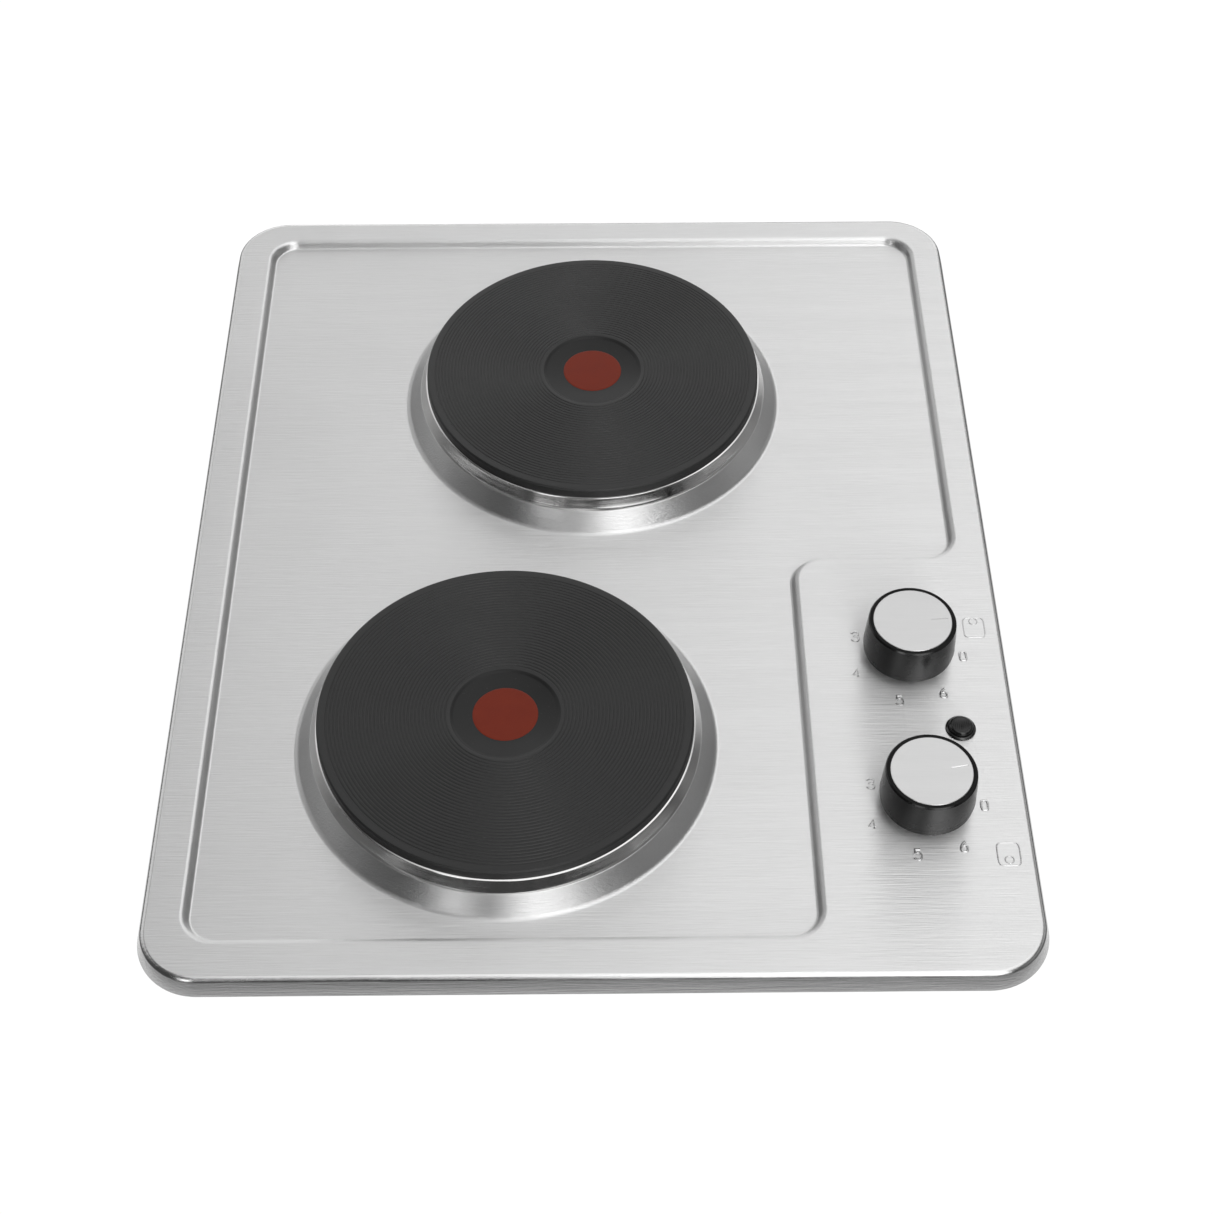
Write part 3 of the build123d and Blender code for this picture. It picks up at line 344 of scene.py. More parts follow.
def woven(name):
    """Braided glass sleeving."""
    mat, tree, shader = new_material(name)
    weave = put(tree, "ShaderNodeTexChecker", Vector=place(tree, (1, 1, 1), (0.6, 0.6, 0.8)), Scale=1100.0)
    fuzz = noise(tree, place(tree), 1500.0, 2.0)
    half_weave = calc(tree, "MULTIPLY", weave.outputs["Fac"], 0.5)
    mixed = calc(tree, "ADD", half_weave, calc(tree, "MULTIPLY", fuzz, 0.5))
    tree.links.new(tint(tree, mixed, (0.42, 0.39, 0.3), (0.72, 0.69, 0.58)), shader.inputs["Base Color"])
    tree.links.new(bump(tree, mixed, 0.0002, 0.6), shader.inputs["Normal"])
    shader.inputs["Roughness"].default_value = 0.85
    return mat


def glass(name):
    """Clear glass of the neon's bulb, faintly uneven."""
    mat, tree, shader = new_material(name)
    shader.inputs["Transmission Weight"].default_value = 0.95
    cloud = noise(tree, place(tree), 200.0, 2.0)
    tree.links.new(tint(tree, cloud, (0.9, 0.82, 0.76), (0.96, 0.9, 0.86)), shader.inputs["Base Color"])
    tree.links.new(ramp(tree, cloud, 0.3, 0.7, 0.03, 0.08), shader.inputs["Roughness"])
    return mat


MATERIALS = {
    "stainless_top": brushed_sheet("stainless_top", 0.66, 0.32, 1.0),
    "folded_edge": brushed_sheet("folded_edge", 0.66, 0.17, 0.9, grain=0.6),
    "pressed_marks": brushed_sheet("pressed_marks", 0.64, 0.24, 0.3, grain=0.07),
    "polished_trim": polished_steel("polished_trim"),
    "cast_iron_plate": cast_iron("cast_iron_plate", specular=0.5),
    "cast_iron_dish": cast_iron("cast_iron_dish", specular=0.3),
    "red_enamel": enamel("red_enamel"),
    "knob_black": moulded("knob_black", 0.002, 0.24, scale=1300.0, depth=0.00008, specular=1.0, upper=0.2),
    "knob_silver": brushed_sheet("knob_silver", 0.66, 0.34, 0.5, grain=0.12),
    "lamp_black": moulded("lamp_black", 0.006, 0.12, scale=500.0, depth=0.00001, specular=0.7),
    "lamp_lens_dark": moulded("lamp_lens_dark", 0.008, 0.12, scale=400.0, depth=0.00001),
    "lamp_glass": glass("lamp_glass"),
    "seal_foam": moulded("seal_foam", 0.03, 0.85, scale=1300.0, depth=0.0003, specular=0.2),
    "seal_rubber": moulded("seal_rubber", 0.02, 0.7),
    "casing_steel": galvanised("casing_steel"),
    "zinc_steel": coloured("zinc_steel", grey(0.48, 0.01), grey(0.6, 0.01), 0.3, metallic=1.0),
    "clamp_steel": coloured("clamp_steel", (0.5, 0.46, 0.34), (0.66, 0.62, 0.46), 0.32, metallic=1.0),
    "coil_wire": coloured("coil_wire", grey(0.2, 0.03), grey(0.34, 0.05), 0.5, metallic=1.0),
    "ceramic_packing": coloured("ceramic_packing", grey(0.5, 0.04), grey(0.68, 0.04), 0.9),
    "terminal_ceramic": coloured("terminal_ceramic", grey(0.62, 0.04), grey(0.74, 0.04), 0.6),
    "switch_plastic": moulded("switch_plastic", 0.05, 0.5),
    "contact_brass": coloured("contact_brass", (0.5, 0.34, 0.13), (0.68, 0.48, 0.2), 0.3, metallic=1.0),
    "loom_sleeve": woven("loom_sleeve"),
}


def finish_cad_nodes():
    """Gives every CAD node the material of its slot in the record."""
    for row in frame["record"]["subparts"]:
        node = frame["nodes"][row["node"]]
        node.data.materials.clear()
        node.data.materials.append(MATERIALS[row["material_slot"]])


# ---------------------------------------------------------------- stage

# Upright lamps round the object: azimuth from the front towards the right in degrees, half-width where
# the fall-off starts and ends, the range of the direction's height, its softness, and the strength
WALLS = (
    (170, 12, 38, 0.0, 0.72, 0.08, 1.1),
    (222, 18, 46, -0.05, 0.75, 0.12, 0.85),
    (133, 10, 34, 0.0, 0.85, 0.10, 0.17),
    (90, 20, 45, -0.05, 0.50, 0.10, 0.22),
    (20, 14, 21, 0.12, 0.95, 0.06, 2.0),
    (334, 4, 9.5, 0.05, 0.60, 0.05, 2.4),
    (0, 12, 30, 0.45, 0.90, 0.08, 0.35),
    (125, 15, 40, -0.05, 0.35, 0.10, 0.18),
)
# The box overhead: its strength, its azimuth and elevation, and the angles where its fall-off starts and ends
OVERHEAD = 1.25
OVERHEAD_AT, OVERHEAD_INNER, OVERHEAD_OUTER = (95, 76), 18, 42
# Light coming back up from the floor: the range of height over which it fades out upwards, and its strength
GROUND = ((-0.40, -0.25, 0.15), (-0.75, -0.50, 0.62))
AMBIENT = 0.06
FLOOR_HALF, FLOOR_DROP, FLOOR_GLOW = 60.0, 0.2 * MM, 1.03


def studio_world():
    """A soft studio: a large box overhead, bright walls behind, dim sides, and narrow panels in front."""
    world = bpy.data.worlds.new("studio")
    bpy.context.scene.world = world
    world.use_nodes = True
    tree = world.node_tree
    direction = tree.nodes.new("ShaderNodeTexCoord").outputs["Generated"]
    height = put(tree, "ShaderNodeSeparateXYZ", Vector=direction).outputs[2]
    level = put(tree, "ShaderNodeVectorMath", _0=direction, _1=(1.0, 1.0, 0.0))
    level.operation = "MULTIPLY"
    flat = put(tree, "ShaderNodeVectorMath", _0=level.outputs[0])
    flat.operation = "NORMALIZE"

    def heading(azimuth, elevation=0.0):
        """The direction at that azimuth and elevation."""
        turn, rise = math.radians(azimuth), math.radians(elevation)
        return (math.cos(rise) * math.sin(turn), -math.cos(rise) * math.cos(turn), math.sin(rise))

    def around(vector, centre, inner, outer):
        """1 within the inner angle of a centre direction, falling to 0 at the outer angle."""
        nearness = put(tree, "ShaderNodeVectorMath", _0=vector, _1=centre)
        nearness.operation = "DOT_PRODUCT"
        value = nearness.outputs["Value"]
        return ramp(tree, value, math.cos(math.radians(outer)), math.cos(math.radians(inner)))

    def between(low, high, soft):
        """1 where the direction's height lies between low and high, with soft ends."""
        fall = calc(tree, "SUBTRACT", 1.0, ramp(tree, height, high - soft, high + soft))
        return calc(tree, "MULTIPLY", ramp(tree, height, low - soft, low + soft), fall)

    overhead = around(direction, heading(*OVERHEAD_AT), OVERHEAD_INNER, OVERHEAD_OUTER)
    light = calc(tree, "MULTIPLY", overhead, OVERHEAD)
    for azimuth, inner, outer, low, high, soft, strength in WALLS:
        sector = around(flat.outputs[0], heading(azimuth), inner, outer)
        panel = calc(tree, "MULTIPLY", sector, between(low, high, soft))
        light = calc(tree, "ADD", light, calc(tree, "MULTIPLY", panel, strength))
    for low, high, strength in GROUND:
        light = calc(tree, "ADD", light, ramp(tree, height, low, high, strength, 0.0))
    total = calc(tree, "ADD", light, AMBIENT)
    background = tree.nodes["Background"]
    background.inputs["Color"].default_value = (1.0, 1.0, 1.0, 1.0)
    tree.links.new(total, background.inputs["Strength"])


def floor():
    """A pale floor that reads as plain white from above and lets an underside view through."""
    mesh_data = bpy.data.meshes.new("floor")
    signs = ((-1, -1), (1, -1), (1, 1), (-1, 1))
    corners = [(FLOOR_HALF * x, FLOOR_HALF * y, -FLOOR_DROP) for x, y in signs]
    mesh_data.from_pydata(corners, [], [(0, 1, 2, 3)])
    plane = bpy.data.objects.new("floor", mesh_data)
    bpy.context.scene.collection.objects.link(plane)
    mat = bpy.data.materials.new("floor")
    mat.use_nodes = True
    tree = mat.node_tree
    tree.nodes.clear()
    paper = noise(tree, place(tree), 3.0, 2.0)
    shade = tint(tree, paper, grey(0.99), grey(1.0))
    glow = put(tree, "ShaderNodeEmission", Color=shade, Strength=FLOOR_GLOW)
    below = tree.nodes.new("ShaderNodeNewGeometry").outputs["Backfacing"]
    clear = tree.nodes.new("ShaderNodeBsdfTransparent")
    mix = put(tree, "ShaderNodeMixShader", _0=below, _1=glow.outputs[0], _2=clear.outputs[0])
    out = tree.nodes.new("ShaderNodeOutputMaterial")
    tree.links.new(mix.outputs[0], out.inputs["Surface"])
    mesh_data.materials.append(mat)
    plane.visible_diffuse = plane.visible_glossy = plane.visible_shadow = plane.visible_transmission = False


def camera():
    """The camera, above and in front of the hob."""
    data = bpy.data.cameras.new("camera")
    data.lens = CAMERA_LENS
    data.sensor_width = SENSOR_WIDTH
    data.shift_x = CAMERA_SHIFT
    eye = bpy.data.objects.new("camera", data)
    eye.location = CAMERA_AT
    eye.rotation_euler = (math.radians(CAMERA_TILT), 0.0, math.radians(CAMERA_TURN))
    bpy.context.scene.collection.objects.link(eye)
    bpy.context.scene.camera = eye
    bpy.context.scene.view_settings.view_transform = "Standard"


# ---------------------------------------------------------------- pressed top

RIM_CORNER = 30 * MM
# The rolled edge, as points of inset from the outline and height over the rim
RIM_PROFILE = ((0.0, -LIP_HEIGHT), (2.8 * MM, 0.0), (9.0 * MM, 0.0))
RIM_BEND = 2.75 * MM
RECESS_DEPTH = 4 * MM
RECESS_RUN = 2.1 * MM
RECESS_CORNER = 15 * MM
RECESS_LEFT, RECESS_RIGHT = -184.0 * MM, 186.0 * MM
RECESS_FRONT, RECESS_BACK = -232.5 * MM, 236.5 * MM
PANEL_LEFT, PANEL_BACK = 103.3 * MM, -10.0 * MM
UPPER_BEND, LOWER_BEND = 3.0 * MM, 1.6 * MM
COLLAR_FOOT_R, COLLAR_TOP_R, SEAT_HOLE_R = 100 * MM, 93 * MM, 84 * MM
FOOT_BEND, TOP_BEND = 3.2 * MM, 0.9 * MM
FLAT_MARGIN = 6 * MM
SHEET = 0.8 * MM
KNOB_HOLE_R, LAMP_HOLE_R = 6 * MM, 4.8 * MM
HOLE_SEGMENTS = 48
ARC_STEPS = 20
COLLAR_SEGMENTS = 256
RIM_STEPS, BEND_STEPS = 10, 8
LEVEL_TOLERANCE = 0.01 * MM


def arc(centre, radius, start, sweep, height):
    """Points along an arc, its ends included; angles in degrees."""
    points = []
    for step in range(ARC_STEPS + 1):
        angle = math.radians(start + sweep * step / ARC_STEPS)
        points.append((centre[0] + radius * math.cos(angle), centre[1] + radius * math.sin(angle), height))
    return points


def rim_loop(inset, height):
    """The rim's rounded rectangle, inset from the widest outline."""
    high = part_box("hob_top")[1]
    reach_x, reach_y = high.x - RIM_CORNER, high.y - RIM_CORNER
    centres = ((reach_x, reach_y), (-reach_x, reach_y), (-reach_x, -reach_y), (reach_x, -reach_y))
    points = []
    for turn, centre in enumerate(centres):
        points += arc(centre, RIM_CORNER - inset, 90 * turn, 90, height)
    return points


def recess_loop(inset, height):
    """The recess's outline with the panel's corner left out, inset towards its floor."""
    r = RECESS_CORNER
    small, large = r - inset, r + inset
    points = arc((RECESS_LEFT + r, RECESS_FRONT + r), small, 180, 90, height)
    points += arc((PANEL_LEFT - r, RECESS_FRONT + r), small, 270, 90, height)
    points += arc((PANEL_LEFT + r, PANEL_BACK - r), large, 180, -90, height)
    points += arc((RECESS_RIGHT - r, PANEL_BACK + r), small, 270, 90, height)
    points += arc((RECESS_RIGHT - r, RECESS_BACK - r), small, 0, 90, height)
    points += arc((RECESS_LEFT + r, RECESS_BACK - r), small, 90, 90, height)
    return points


def circle_loop(centre, radius, height, segments):
    """A full circle of points."""
    turns = [2 * math.pi * step / segments for step in range(segments)]
    return [(centre[0] + radius * math.cos(a), centre[1] + radius * math.sin(a), height) for a in turns]


def loft(work, loops):
    """Faces between successive closed loops, with the first and last loop's edges returned."""
    rings = [[work.verts.new(point) for point in loop] for loop in loops]
    for inner, outer in zip(rings, rings[1:]):
        for i in range(len(inner)):
            j = (i + 1) % len(inner)
            work.faces.new((inner[i], inner[j], outer[j], outer[i]))
    return boundary(work, rings[0]), boundary(work, rings[-1])


def boundary(work, ring):
    """The edges round a closed ring of vertices, made where they don't exist yet."""
    edges = []
    for i, vert in enumerate(ring):
        pair = (vert, ring[(i + 1) % len(ring)])
        edges.append(work.edges.get(pair) or work.edges.new(pair))
    return edges


def pressed_top():
    """The sheet: rolled rim, recess with soft bends, raised panel, two collars and the holes."""
    work = bmesh.new()
    floor_z = RIM_Z - RECESS_DEPTH
    plates = [middle(f"{end}_hotplate")[:2] for end in ENDS]
    knobs = [middle(f"{end}_knob_body")[:2] for end in ENDS]
    rim = round_corners(RIM_PROFILE, (0, RIM_BEND, 0), RIM_STEPS)
    _, rim_edges = loft(work, [rim_loop(inset, RIM_Z + height) for inset, height in rim])
    # The rim's bend and flank take the second material, the folded edge
    for face in work.faces:
        face.material_index = int(face.calc_center_median().z < RIM_Z - LEVEL_TOLERANCE)
    wall = [(-FLAT_MARGIN, 0.0), (0.0, 0.0), (RECESS_RUN, -RECESS_DEPTH)]
    wall.append((RECESS_RUN + FLAT_MARGIN / 3, -RECESS_DEPTH))
    wall = round_corners(wall, (0, UPPER_BEND, LOWER_BEND, 0), BEND_STEPS)
    top_edges, floor_edges = loft(work, [recess_loop(inset, RIM_Z + height) for inset, height in wall])
    level = rim_edges + top_edges
    holes = [(knob, KNOB_HOLE_R) for knob in knobs] + [(middle("lamp_neon")[:2], LAMP_HOLE_R)]
    for centre, radius in holes:
        ring = [work.verts.new(point) for point in circle_loop(centre, radius, RIM_Z, HOLE_SEGMENTS)]
        level += boundary(work, ring)
    collar = [(COLLAR_FOOT_R + FLAT_MARGIN, floor_z), (COLLAR_FOOT_R, floor_z)]
    collar += [(COLLAR_TOP_R, COLLAR_TOP_Z), (SEAT_HOLE_R, COLLAR_TOP_Z)]
    collar = round_corners(collar, (0, FOOT_BEND, TOP_BEND, 0), BEND_STEPS)
    for plate in plates:
        loops = [circle_loop(plate, radius, height, COLLAR_SEGMENTS) for radius, height in collar]
        foot_edges, _ = loft(work, loops)
        floor_edges += foot_edges
    bmesh.ops.triangle_fill(work, use_beauty=True, edges=level, normal=UP)
    bmesh.ops.triangle_fill(work, use_beauty=True, edges=floor_edges, normal=UP)
    bmesh.ops.recalc_face_normals(work, faces=work.faces)
    if sum(face.normal.z * face.calc_area() for face in work.faces) < 0:
        bmesh.ops.reverse_faces(work, faces=work.faces)
    mesh_data = bpy.data.meshes.new("pressed_top")
    work.to_mesh(mesh_data)
    work.free()
    smooth_by_angle(mesh_data)
    stainless = MATERIALS["stainless_top"]
    piece = finished("pressed_top", mesh_data, stainless, "hob", ("hob_top",))
    mesh_data.materials.append(MATERIALS["folded_edge"])
    thickness = piece.modifiers.new("sheet", "SOLIDIFY")
    thickness.thickness = SHEET
    thickness.offset = -1.0
    flat = piece.modifiers.new("flats", "WEIGHTED_NORMAL")
    flat.keep_sharp = True


# ---------------------------------------------------------------- numerals and symbols

STROKE_R = 0.58 * MM
STROKE_RISE = 0.85
STROKE_SINK = 0.1 * MM
STROKE_SHARP_ANGLE = 60.0
NUMERAL_RING_R = 27.6 * MM
NUMERAL_HEIGHT = 5.3 * MM
NUMERAL_WIDTH = 0.6 * NUMERAL_HEIGHT
# Where the numerals 0 to 6 stand round a knob, from the right in degrees
NUMERAL_ANGLES = (0.0, 51.0, 102.0, 152.5, 201.6, 257.0, 304.4)
# Each numeral's stroke in a unit square, as straight lines or as a curve pulled towards its points
DIGITS = {
    "0": ("curve", (
        (0.5, 1.0), (0.05, 1.0), (0.0, 0.5), (0.05, 0.0), (0.5, 0.0), (0.95, 0.0), (1.0, 0.5),
        (0.95, 1.0), (0.5, 1.0),
    )),
    "1": ("line", (
        (0.2, 0.78), (0.55, 1.0), (0.55, 0.0),
    )),
    "2": ("curve", (
        (0.0, 0.75), (0.05, 1.05), (0.95, 1.05), (1.0, 0.6), (0.25, 0.3), (0.0, 0.0), (0.0, 0.0),
        (1.0, 0.0),
    )),
    "3": ("curve", (
        (0.0, 0.85), (0.2, 1.05), (1.0, 1.05), (1.0, 0.6), (0.35, 0.52), (0.35, 0.52), (1.05, 0.5),
        (1.05, -0.05), (0.2, -0.05), (0.0, 0.15),
    )),
    "4": ("line", (
        (0.75, 0.0), (0.75, 1.0), (0.0, 0.3), (1.0, 0.3),
    )),
    "5": ("curve", (
        (0.95, 1.0), (0.15, 1.0), (0.15, 1.0), (0.05, 0.55), (0.05, 0.55), (0.5, 0.72), (1.05, 0.6),
        (1.05, -0.05), (0.2, -0.05), (0.0, 0.15),
    )),
    "6": ("curve", (
        (0.75, 1.0), (0.3, 0.85), (-0.05, 0.3), (0.1, 0.0), (0.5, -0.02), (0.95, 0.0), (1.0, 0.55),
        (0.5, 0.62), (0.05, 0.5), (0.02, 0.25),
    )),
}


def embossed(name, strokes, radius):
    """Raised lines on the panel, half sunk in it: (kind, closed, points) strokes as one mesh piece."""
    curve = bpy.data.curves.new(name, "CURVE")
    curve.dimensions = "3D"
    curve.bevel_depth = radius
    curve.bevel_resolution = 3
    curve.use_fill_caps = True
    for kind, closed, points in strokes:
        spline = curve.splines.new("NURBS" if kind == "curve" else "POLY")
        spline.points.add(len(points) - 1)
        for point, (x, y) in zip(spline.points, points):
            point.co = (x, y, 0.0, 1.0)
        spline.order_u = 3
        spline.use_endpoint_u = True
        spline.use_cyclic_u = closed
        spline.resolution_u = 6
    holder = bpy.data.objects.new(name + "_lines", curve)
    mesh_data = bpy.data.meshes.new_from_object(holder)
    bpy.data.objects.remove(holder)
    for vert in mesh_data.vertices:
        vert.co.z = RIM_Z - STROKE_SINK + vert.co.z * STROKE_RISE
    smooth_by_angle(mesh_data, STROKE_SHARP_ANGLE)
    finished(name, mesh_data, MATERIALS["pressed_marks"], "hob")


def dial_numerals():
    """The numbers 0 to 6 round each knob."""
    strokes = []
    for end in ENDS:
        x, y = middle(f"{end}_knob_body")[:2]
        for degrees, (kind, points) in zip(NUMERAL_ANGLES, DIGITS.values()):
            angle = math.radians(degrees)
            left = x + NUMERAL_RING_R * math.cos(angle) - NUMERAL_WIDTH / 2
            low = y + NUMERAL_RING_R * math.sin(angle) - NUMERAL_HEIGHT / 2
            placed = [(left + NUMERAL_WIDTH * u, low + NUMERAL_HEIGHT * v) for u, v in points]
            strokes.append((kind, False, placed))
    embossed("dial_numerals", strokes, STROKE_R)


# Each symbol's place on the panel, and how far its ring lies from the square's middle
SYMBOLS = (((189.5 * MM, -56.5 * MM), 4.0 * MM), ((190.0 * MM, -190.0 * MM), -3.0 * MM))
SYMBOL_HALF = (5.2 * MM, 6.2 * MM)
SYMBOL_ROUNDING = 0.36
SYMBOL_STEPS, SYMBOL_RING_STEPS = 48, 24
SYMBOL_RING_R, SYMBOL_STROKE_R = 2.0 * MM, 0.36 * MM


def plate_symbols():
    """A rounded square beside each knob, with a small ring where its plate lies."""
    strokes = []
    for (x, y), ring_offset in SYMBOLS:
        square = []
        for turn in range(SYMBOL_STEPS):
            angle = 2 * math.pi * turn / SYMBOL_STEPS
            across = math.copysign(abs(math.cos(angle)) ** SYMBOL_ROUNDING, math.cos(angle))
            along = math.copysign(abs(math.sin(angle)) ** SYMBOL_ROUNDING, math.sin(angle))
            square.append((x + SYMBOL_HALF[0] * across, y + SYMBOL_HALF[1] * along))
        strokes.append(("line", True, square))
        ring = circle_loop((x, y + ring_offset), SYMBOL_RING_R, 0.0, SYMBOL_RING_STEPS)
        strokes.append(("line", True, [point[:2] for point in ring]))
    embossed("plate_symbols", strokes, SYMBOL_STROKE_R)


# ---------------------------------------------------------------- plates and rings

GROOVE_PITCH = 1.75 * MM
GROOVE_DEPTH = 0.22 * MM
GROOVE_WIDTH = 1.0 * MM
GROOVES_FROM = 28.5 * MM
GROOVES_TO = 86.0 * MM
PLATE_SEGMENTS = 256
DISH_FINISH_DEPTH, DISH_FINISH_MARGIN = 2 * MM, 1 * MM
SPOT_SEGMENTS = 128


def hotplate(end):
    """The iron plate with turned grooves, a dished middle, eased edges, and its hollow and stud below."""
    node = f"{end}_hotplate"
    x, y, low, high = middle(node)
    radius, top = (high.x - low.x) / 2, high.z
    plate_bottom, hollow_top = RIM_Z - 2 * MM, RIM_Z + 8.5 * MM
    flange_z = COLLAR_TOP_Z + 0.6 * MM
    body_r, hollow_r, boss_r, stud_r = 82.5 * MM, 76 * MM, 20 * MM, 4 * MM
    dish_r, dish_z = 26 * MM, top - 1.0 * MM
    profile = [(0.0, dish_z), (dish_r - 1.6 * MM, dish_z)]
    profile += [(dish_r - 1.0 * MM, dish_z + 0.25 * MM), (dish_r - 0.35 * MM, top - 0.2 * MM)]
    profile.append((dish_r + 0.2 * MM, top))
    groove_r = GROOVES_FROM
    while groove_r < GROOVES_TO:
        profile.append((groove_r - GROOVE_WIDTH / 2, top))
        profile.append((groove_r - GROOVE_WIDTH / 5, top - GROOVE_DEPTH))
        profile.append((groove_r + GROOVE_WIDTH / 5, top - GROOVE_DEPTH))
        profile.append((groove_r + GROOVE_WIDTH / 2, top))
        groove_r += GROOVE_PITCH
    chamfer, ease = 0.8 * MM, 0.3 * MM
    edge = [(radius - 2.5 * MM, top), (radius - chamfer, top), (radius, top - chamfer)]
    edge += [(radius, flange_z), (body_r, flange_z)]
    profile += round_corners(edge, (0, ease, ease, 0, 0), EDGE_STEPS)
    profile += [(body_r, plate_bottom), (hollow_r, plate_bottom), (hollow_r, hollow_top)]
    profile += [(boss_r, hollow_top), (boss_r, plate_bottom), (stud_r, plate_bottom)]
    profile += [(stud_r, low.z), (0.0, low.z)]
    mesh_data = lathe(f"{end}_plate_iron", profile, (x, y), PLATE_SEGMENTS)
    # The dish takes the second material
    for face in mesh_data.polygons:
        reach = math.hypot(face.center.x - x, face.center.y - y)
        if face.center.z > top - DISH_FINISH_DEPTH and reach < dish_r + DISH_FINISH_MARGIN:
            face.material_index = 1
    iron = MATERIALS["cast_iron_plate"]
    finished(f"{end}_plate_iron", mesh_data, iron, "hob", (node,))
    mesh_data.materials.append(MATERIALS["cast_iron_dish"])


def red_spot(end):
    """The enamel spot, crowned a little at its edge."""
    node = f"{end}_red_spot"
    x, y, low, high = middle(node)
    radius, rise = (high.x - low.x) / 2, high.z - low.z
    profile = [(0.0, high.z), (radius - 1.2 * MM, high.z), (radius - 0.5 * MM, high.z - 0.1 * rise)]
    profile += [(radius - 0.15 * MM, high.z - 0.4 * rise), (radius, low.z), (0.0, low.z)]
    mesh_data = lathe(f"{end}_enamel_spot", profile, (x, y), SPOT_SEGMENTS)
    red = MATERIALS["red_enamel"]
    finished(f"{end}_enamel_spot", mesh_data, red, "hob", (node,))


def trim_ring(end):
    """The polished overflow ring: a folded lip, a sloping flank, and a foot on the collar."""
    node = f"{end}_trim_ring"
    x, y, low, high = middle(node)
    foot_r, lip_r, inner_r = (high.x - low.x) / 2, 89.9 * MM, 89.02 * MM
    sheet, hem_z = 0.45 * MM, low.z + 0.6 * MM
    outer = [(foot_r, low.z), (foot_r - 0.15 * MM, low.z + 0.5 * MM)]
    for share in (0.25, 0.5, 0.75):
        flank_z = low.z + (high.z - low.z - 0.3 * MM) * share
        outer.append((foot_r + (lip_r - foot_r) * share, flank_z))
    outer += [(lip_r + 0.08 * MM, high.z - 0.45 * MM), (lip_r + 0.02 * MM, high.z - 0.3 * MM)]
    outer += [(lip_r - 0.08 * MM, high.z - 0.19 * MM), (inner_r + 0.12 * MM, high.z)]
    outer += [(inner_r + 0.03 * MM, high.z - 0.05 * MM), (inner_r, high.z - 0.2 * MM), (inner_r, hem_z)]
    inner = [(inner_r + sheet, hem_z), (inner_r + sheet, high.z - 2 * sheet), (foot_r - 1.3 * sheet, low.z)]
    mesh_data = lathe(f"{end}_overflow_ring", outer + inner, (x, y), PLATE_SEGMENTS, closed=True)
    polished = MATERIALS["polished_trim"]
    finished(f"{end}_overflow_ring", mesh_data, polished, "hob", (node,))


# ---------------------------------------------------------------- knobs and lamp

CAP_R = 18.9 * MM
CAP_SHARP_ANGLE = 20.0
KNOB_SEGMENTS = 160
# The pointer's angle from the right in degrees, half-width and depth, on each knob
POINTER_TURN = {"front": 10.0, "rear": 4.0}
POINTER_HALF = {"front": 0.4 * MM, "rear": 0.26 * MM}
POINTER_DEPTH = {"front": 0.35 * MM, "rear": 0.5 * MM}
POINTER_FROM, POINTER_TO = 9.0 * MM, 17.2 * MM


def knob_body(end):
    """The black knob: a flat ring round the cap, a chamfer, a slightly flared side, and a hub inside."""
    node = f"{end}_knob_body"
    x, y, low, high = middle(node)
    base, top = low.z, high.z
    pocket_r, pocket, ceiling = CAP_R + 0.08 * MM, top - 1.1 * MM, top - 3.0 * MM
    hub_r, hub_z, bore_r, bore_top = 6.5 * MM, base + 3 * MM, 3.1 * MM, top - 3.9 * MM
    rim = [(pocket_r, pocket), (pocket_r, top), (20.5 * MM, top), (21.1 * MM, top - 0.85 * MM)]
    rim += [(21.75 * MM, top - 7.9 * MM), (22.2 * MM, base + 2.5 * MM), (22.15 * MM, base)]
    rim = round_corners(rim, (0, 0.12 * MM, 0.2 * MM, 0.25 * MM, 0, 0.9 * MM, 0.3 * MM), EDGE_STEPS)
    profile = [(0.0, pocket)] + rim[:-1]
    profile += [(21.9 * MM, base), (20.4 * MM, base), (19.2 * MM, ceiling)]
    profile += [(hub_r, ceiling), (hub_r, hub_z), (bore_r, hub_z), (bore_r, bore_top), (0.0, bore_top)]
    mesh_data = lathe(f"{end}_knob_shell", profile, (x, y), KNOB_SEGMENTS)
    black = MATERIALS["knob_black"]
    finished(f"{end}_knob_shell", mesh_data, black, f"{end}_knob", (node,))


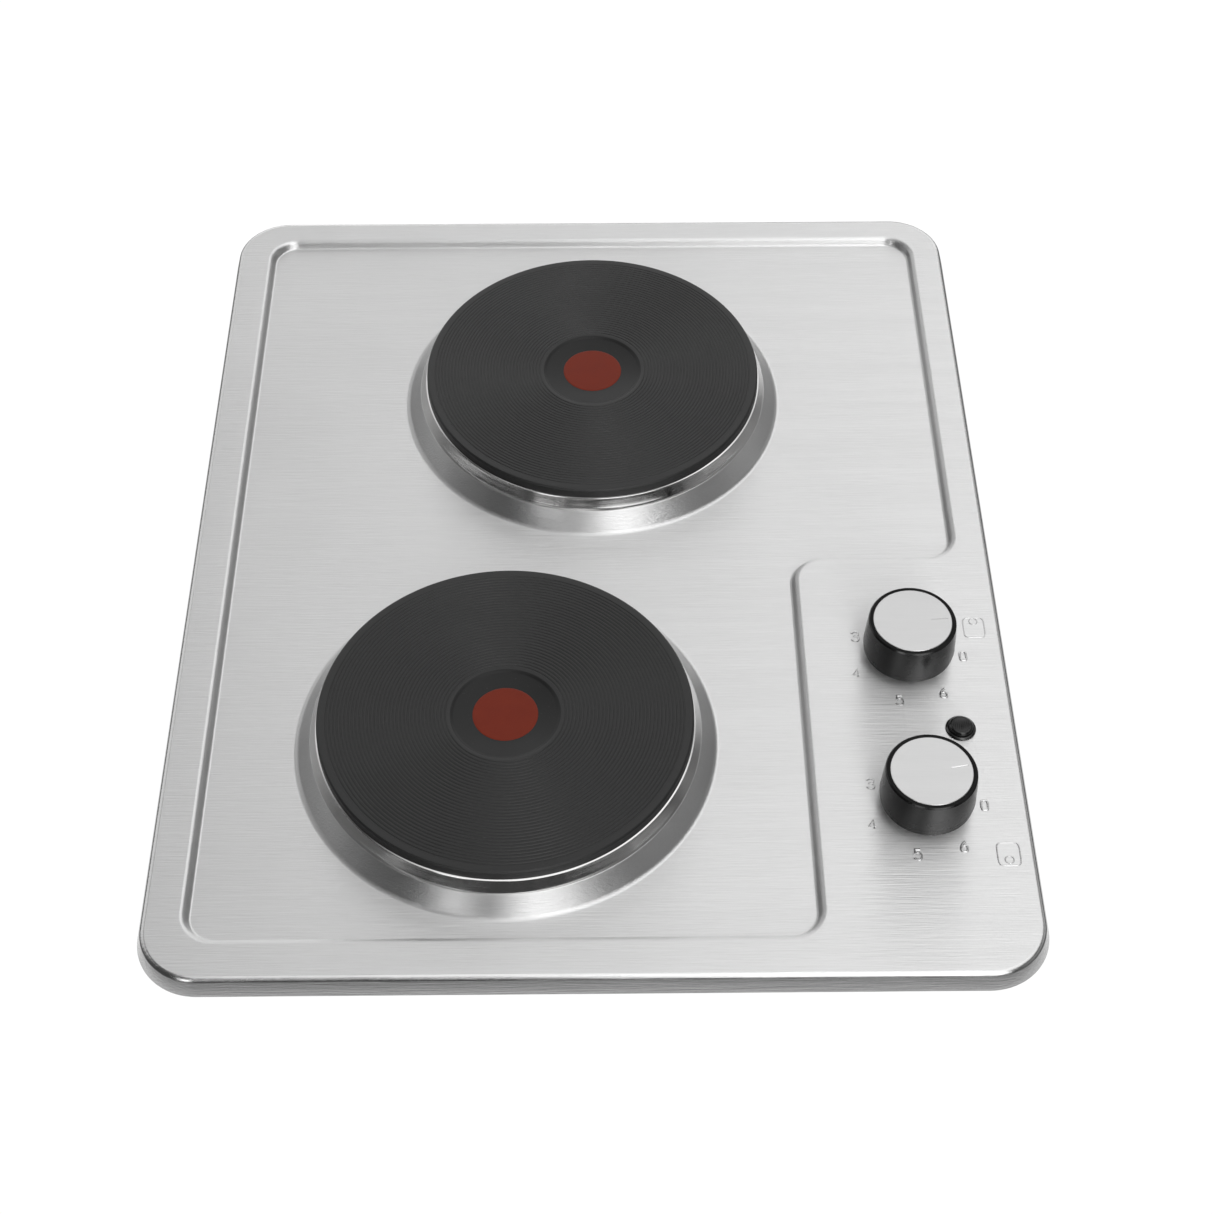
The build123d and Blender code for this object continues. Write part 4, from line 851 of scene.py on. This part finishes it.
def knob_cap(end):
    """The silver cap with a bright chamfer and an engraved pointer."""
    node = f"{end}_knob_cap"
    x, y, low, high = middle(node)
    top, chamfer, foot_chamfer = high.z, 0.22 * MM, 0.1 * MM
    work = bmesh.new()
    side = [(CAP_R - foot_chamfer, low.z), (CAP_R, low.z + foot_chamfer)]
    side += [(CAP_R, top - chamfer), (CAP_R - chamfer, top)]
    loops = [circle_loop((x, y), radius, height, KNOB_SEGMENTS) for radius, height in side]
    bottom, upper = loft(work, loops)
    turn = math.radians(POINTER_TURN[end])
    half, depth = POINTER_HALF[end], POINTER_DEPTH[end]
    along = Vector((math.cos(turn), math.sin(turn), 0))
    across = Vector((-math.sin(turn), math.cos(turn), 0))
    centre = Vector((x, y, top))
    outline = ((POINTER_FROM, -1), (POINTER_TO, -1), (POINTER_TO, 1), (POINTER_FROM, 1))
    corners = [work.verts.new(centre + along * reach + across * half * sign) for reach, sign in outline]
    valley = [centre + along * reach for reach in (POINTER_FROM + half, POINTER_TO - half)]
    near, far = [work.verts.new(point - UP * depth) for point in valley]
    a, b, c, d = corners
    for face in ((a, b, far, near), (b, c, far), (c, d, near, far), (d, a, near)):
        work.faces.new(face)
    top_edges = upper + boundary(work, corners)
    bmesh.ops.triangle_fill(work, use_beauty=True, edges=top_edges, normal=UP)
    bmesh.ops.triangle_fill(work, use_beauty=True, edges=bottom, normal=-UP)
    bmesh.ops.recalc_face_normals(work, faces=work.faces)
    mesh_data = bpy.data.meshes.new(f"{end}_cap_disc")
    work.to_mesh(mesh_data)
    work.free()
    smooth_by_angle(mesh_data, CAP_SHARP_ANGLE)
    silver = MATERIALS["knob_silver"]
    piece = finished(f"{end}_cap_disc", mesh_data, silver, f"{end}_knob", (node,))
    piece.modifiers.new("flats", "WEIGHTED_NORMAL").keep_sharp = True


RIB_PITCH, RIB_DEPTH = 0.9 * MM, 0.12 * MM
LAMP_SEGMENTS, LENS_SEGMENTS = 96, 120
BEZEL_STEPS, LENS_EDGE_STEPS, LENS_CROWN_STEPS = 5, 8, 24


def lamp():
    """The pilot lamp's glossy bezel and its ribbed lens."""
    x, y, low, high = middle("lamp_bezel")
    _, _, lens_low, lens_high = middle("lamp_lens")
    lens_r = (lens_high.x - lens_low.x) / 2
    flange_r, body_r, bore_r = (high.x - low.x) / 2, 4.6 * MM, 3.9 * MM
    seat_r, seat_z = lens_r + 0.06 * MM, RIM_Z + 0.4 * MM
    flange_z = RIM_Z + 0.02 * MM
    rim = [(body_r, low.z), (body_r, flange_z), (flange_r, flange_z), (flange_r, RIM_Z + 0.7 * MM)]
    rim += [(lens_r + 0.5 * MM, RIM_Z + 1.3 * MM), (seat_r, RIM_Z + 1.2 * MM), (seat_r, seat_z)]
    rim += [(bore_r, seat_z), (bore_r, low.z)]
    radii = (0, 0, 0.15 * MM, 0.5 * MM, 0.3 * MM, 0.1 * MM, 0, 0, 0)
    profile = round_corners(rim, radii, BEZEL_STEPS)
    mesh_data = lathe("lamp_bezel_ring", profile, (x, y), LAMP_SEGMENTS, closed=True)
    black = MATERIALS["lamp_black"]
    finished("lamp_bezel_ring", mesh_data, black, "hob", ("lamp_bezel",))
    shoulder, foot, round_r = lens_high.z - 0.25 * MM, lens_low.z + 0.02 * MM, 1.5 * MM
    outline = [(0.0, shoulder), (lens_r, shoulder), (lens_r, foot)]
    edge = round_corners(outline, (0, round_r, 0), LENS_EDGE_STEPS)[1:]
    face_r = lens_r - round_r
    crown = []
    for step in range(LENS_CROWN_STEPS):
        share = step / LENS_CROWN_STEPS
        crown.append((face_r * share, lens_high.z - share ** 2 * (lens_high.z - shoulder)))
    mesh_data = lathe("lamp_ribbed_lens", crown + edge + [(0.0, foot)], (x, y), LENS_SEGMENTS)
    for vert in mesh_data.vertices:
        reach = math.hypot(vert.co.x - x, vert.co.y - y)
        if vert.co.z > shoulder - LEVEL_TOLERANCE and reach < face_r:
            phase = (vert.co.x - x) / RIB_PITCH
            vert.co.z -= RIB_DEPTH * abs(2 * (phase - math.floor(phase + 0.5)))
    dark = MATERIALS["lamp_lens_dark"]
    finished("lamp_ribbed_lens", mesh_data, dark, "hob", ("lamp_lens",))


# ---------------------------------------------------------------- making it

camera()
studio_world()
floor()
finish_cad_nodes()
pressed_top()
dial_numerals()
plate_symbols()
for end in ENDS:
    hotplate(end)
    red_spot(end)
    trim_ring(end)
    knob_body(end)
    knob_cap(end)
lamp()
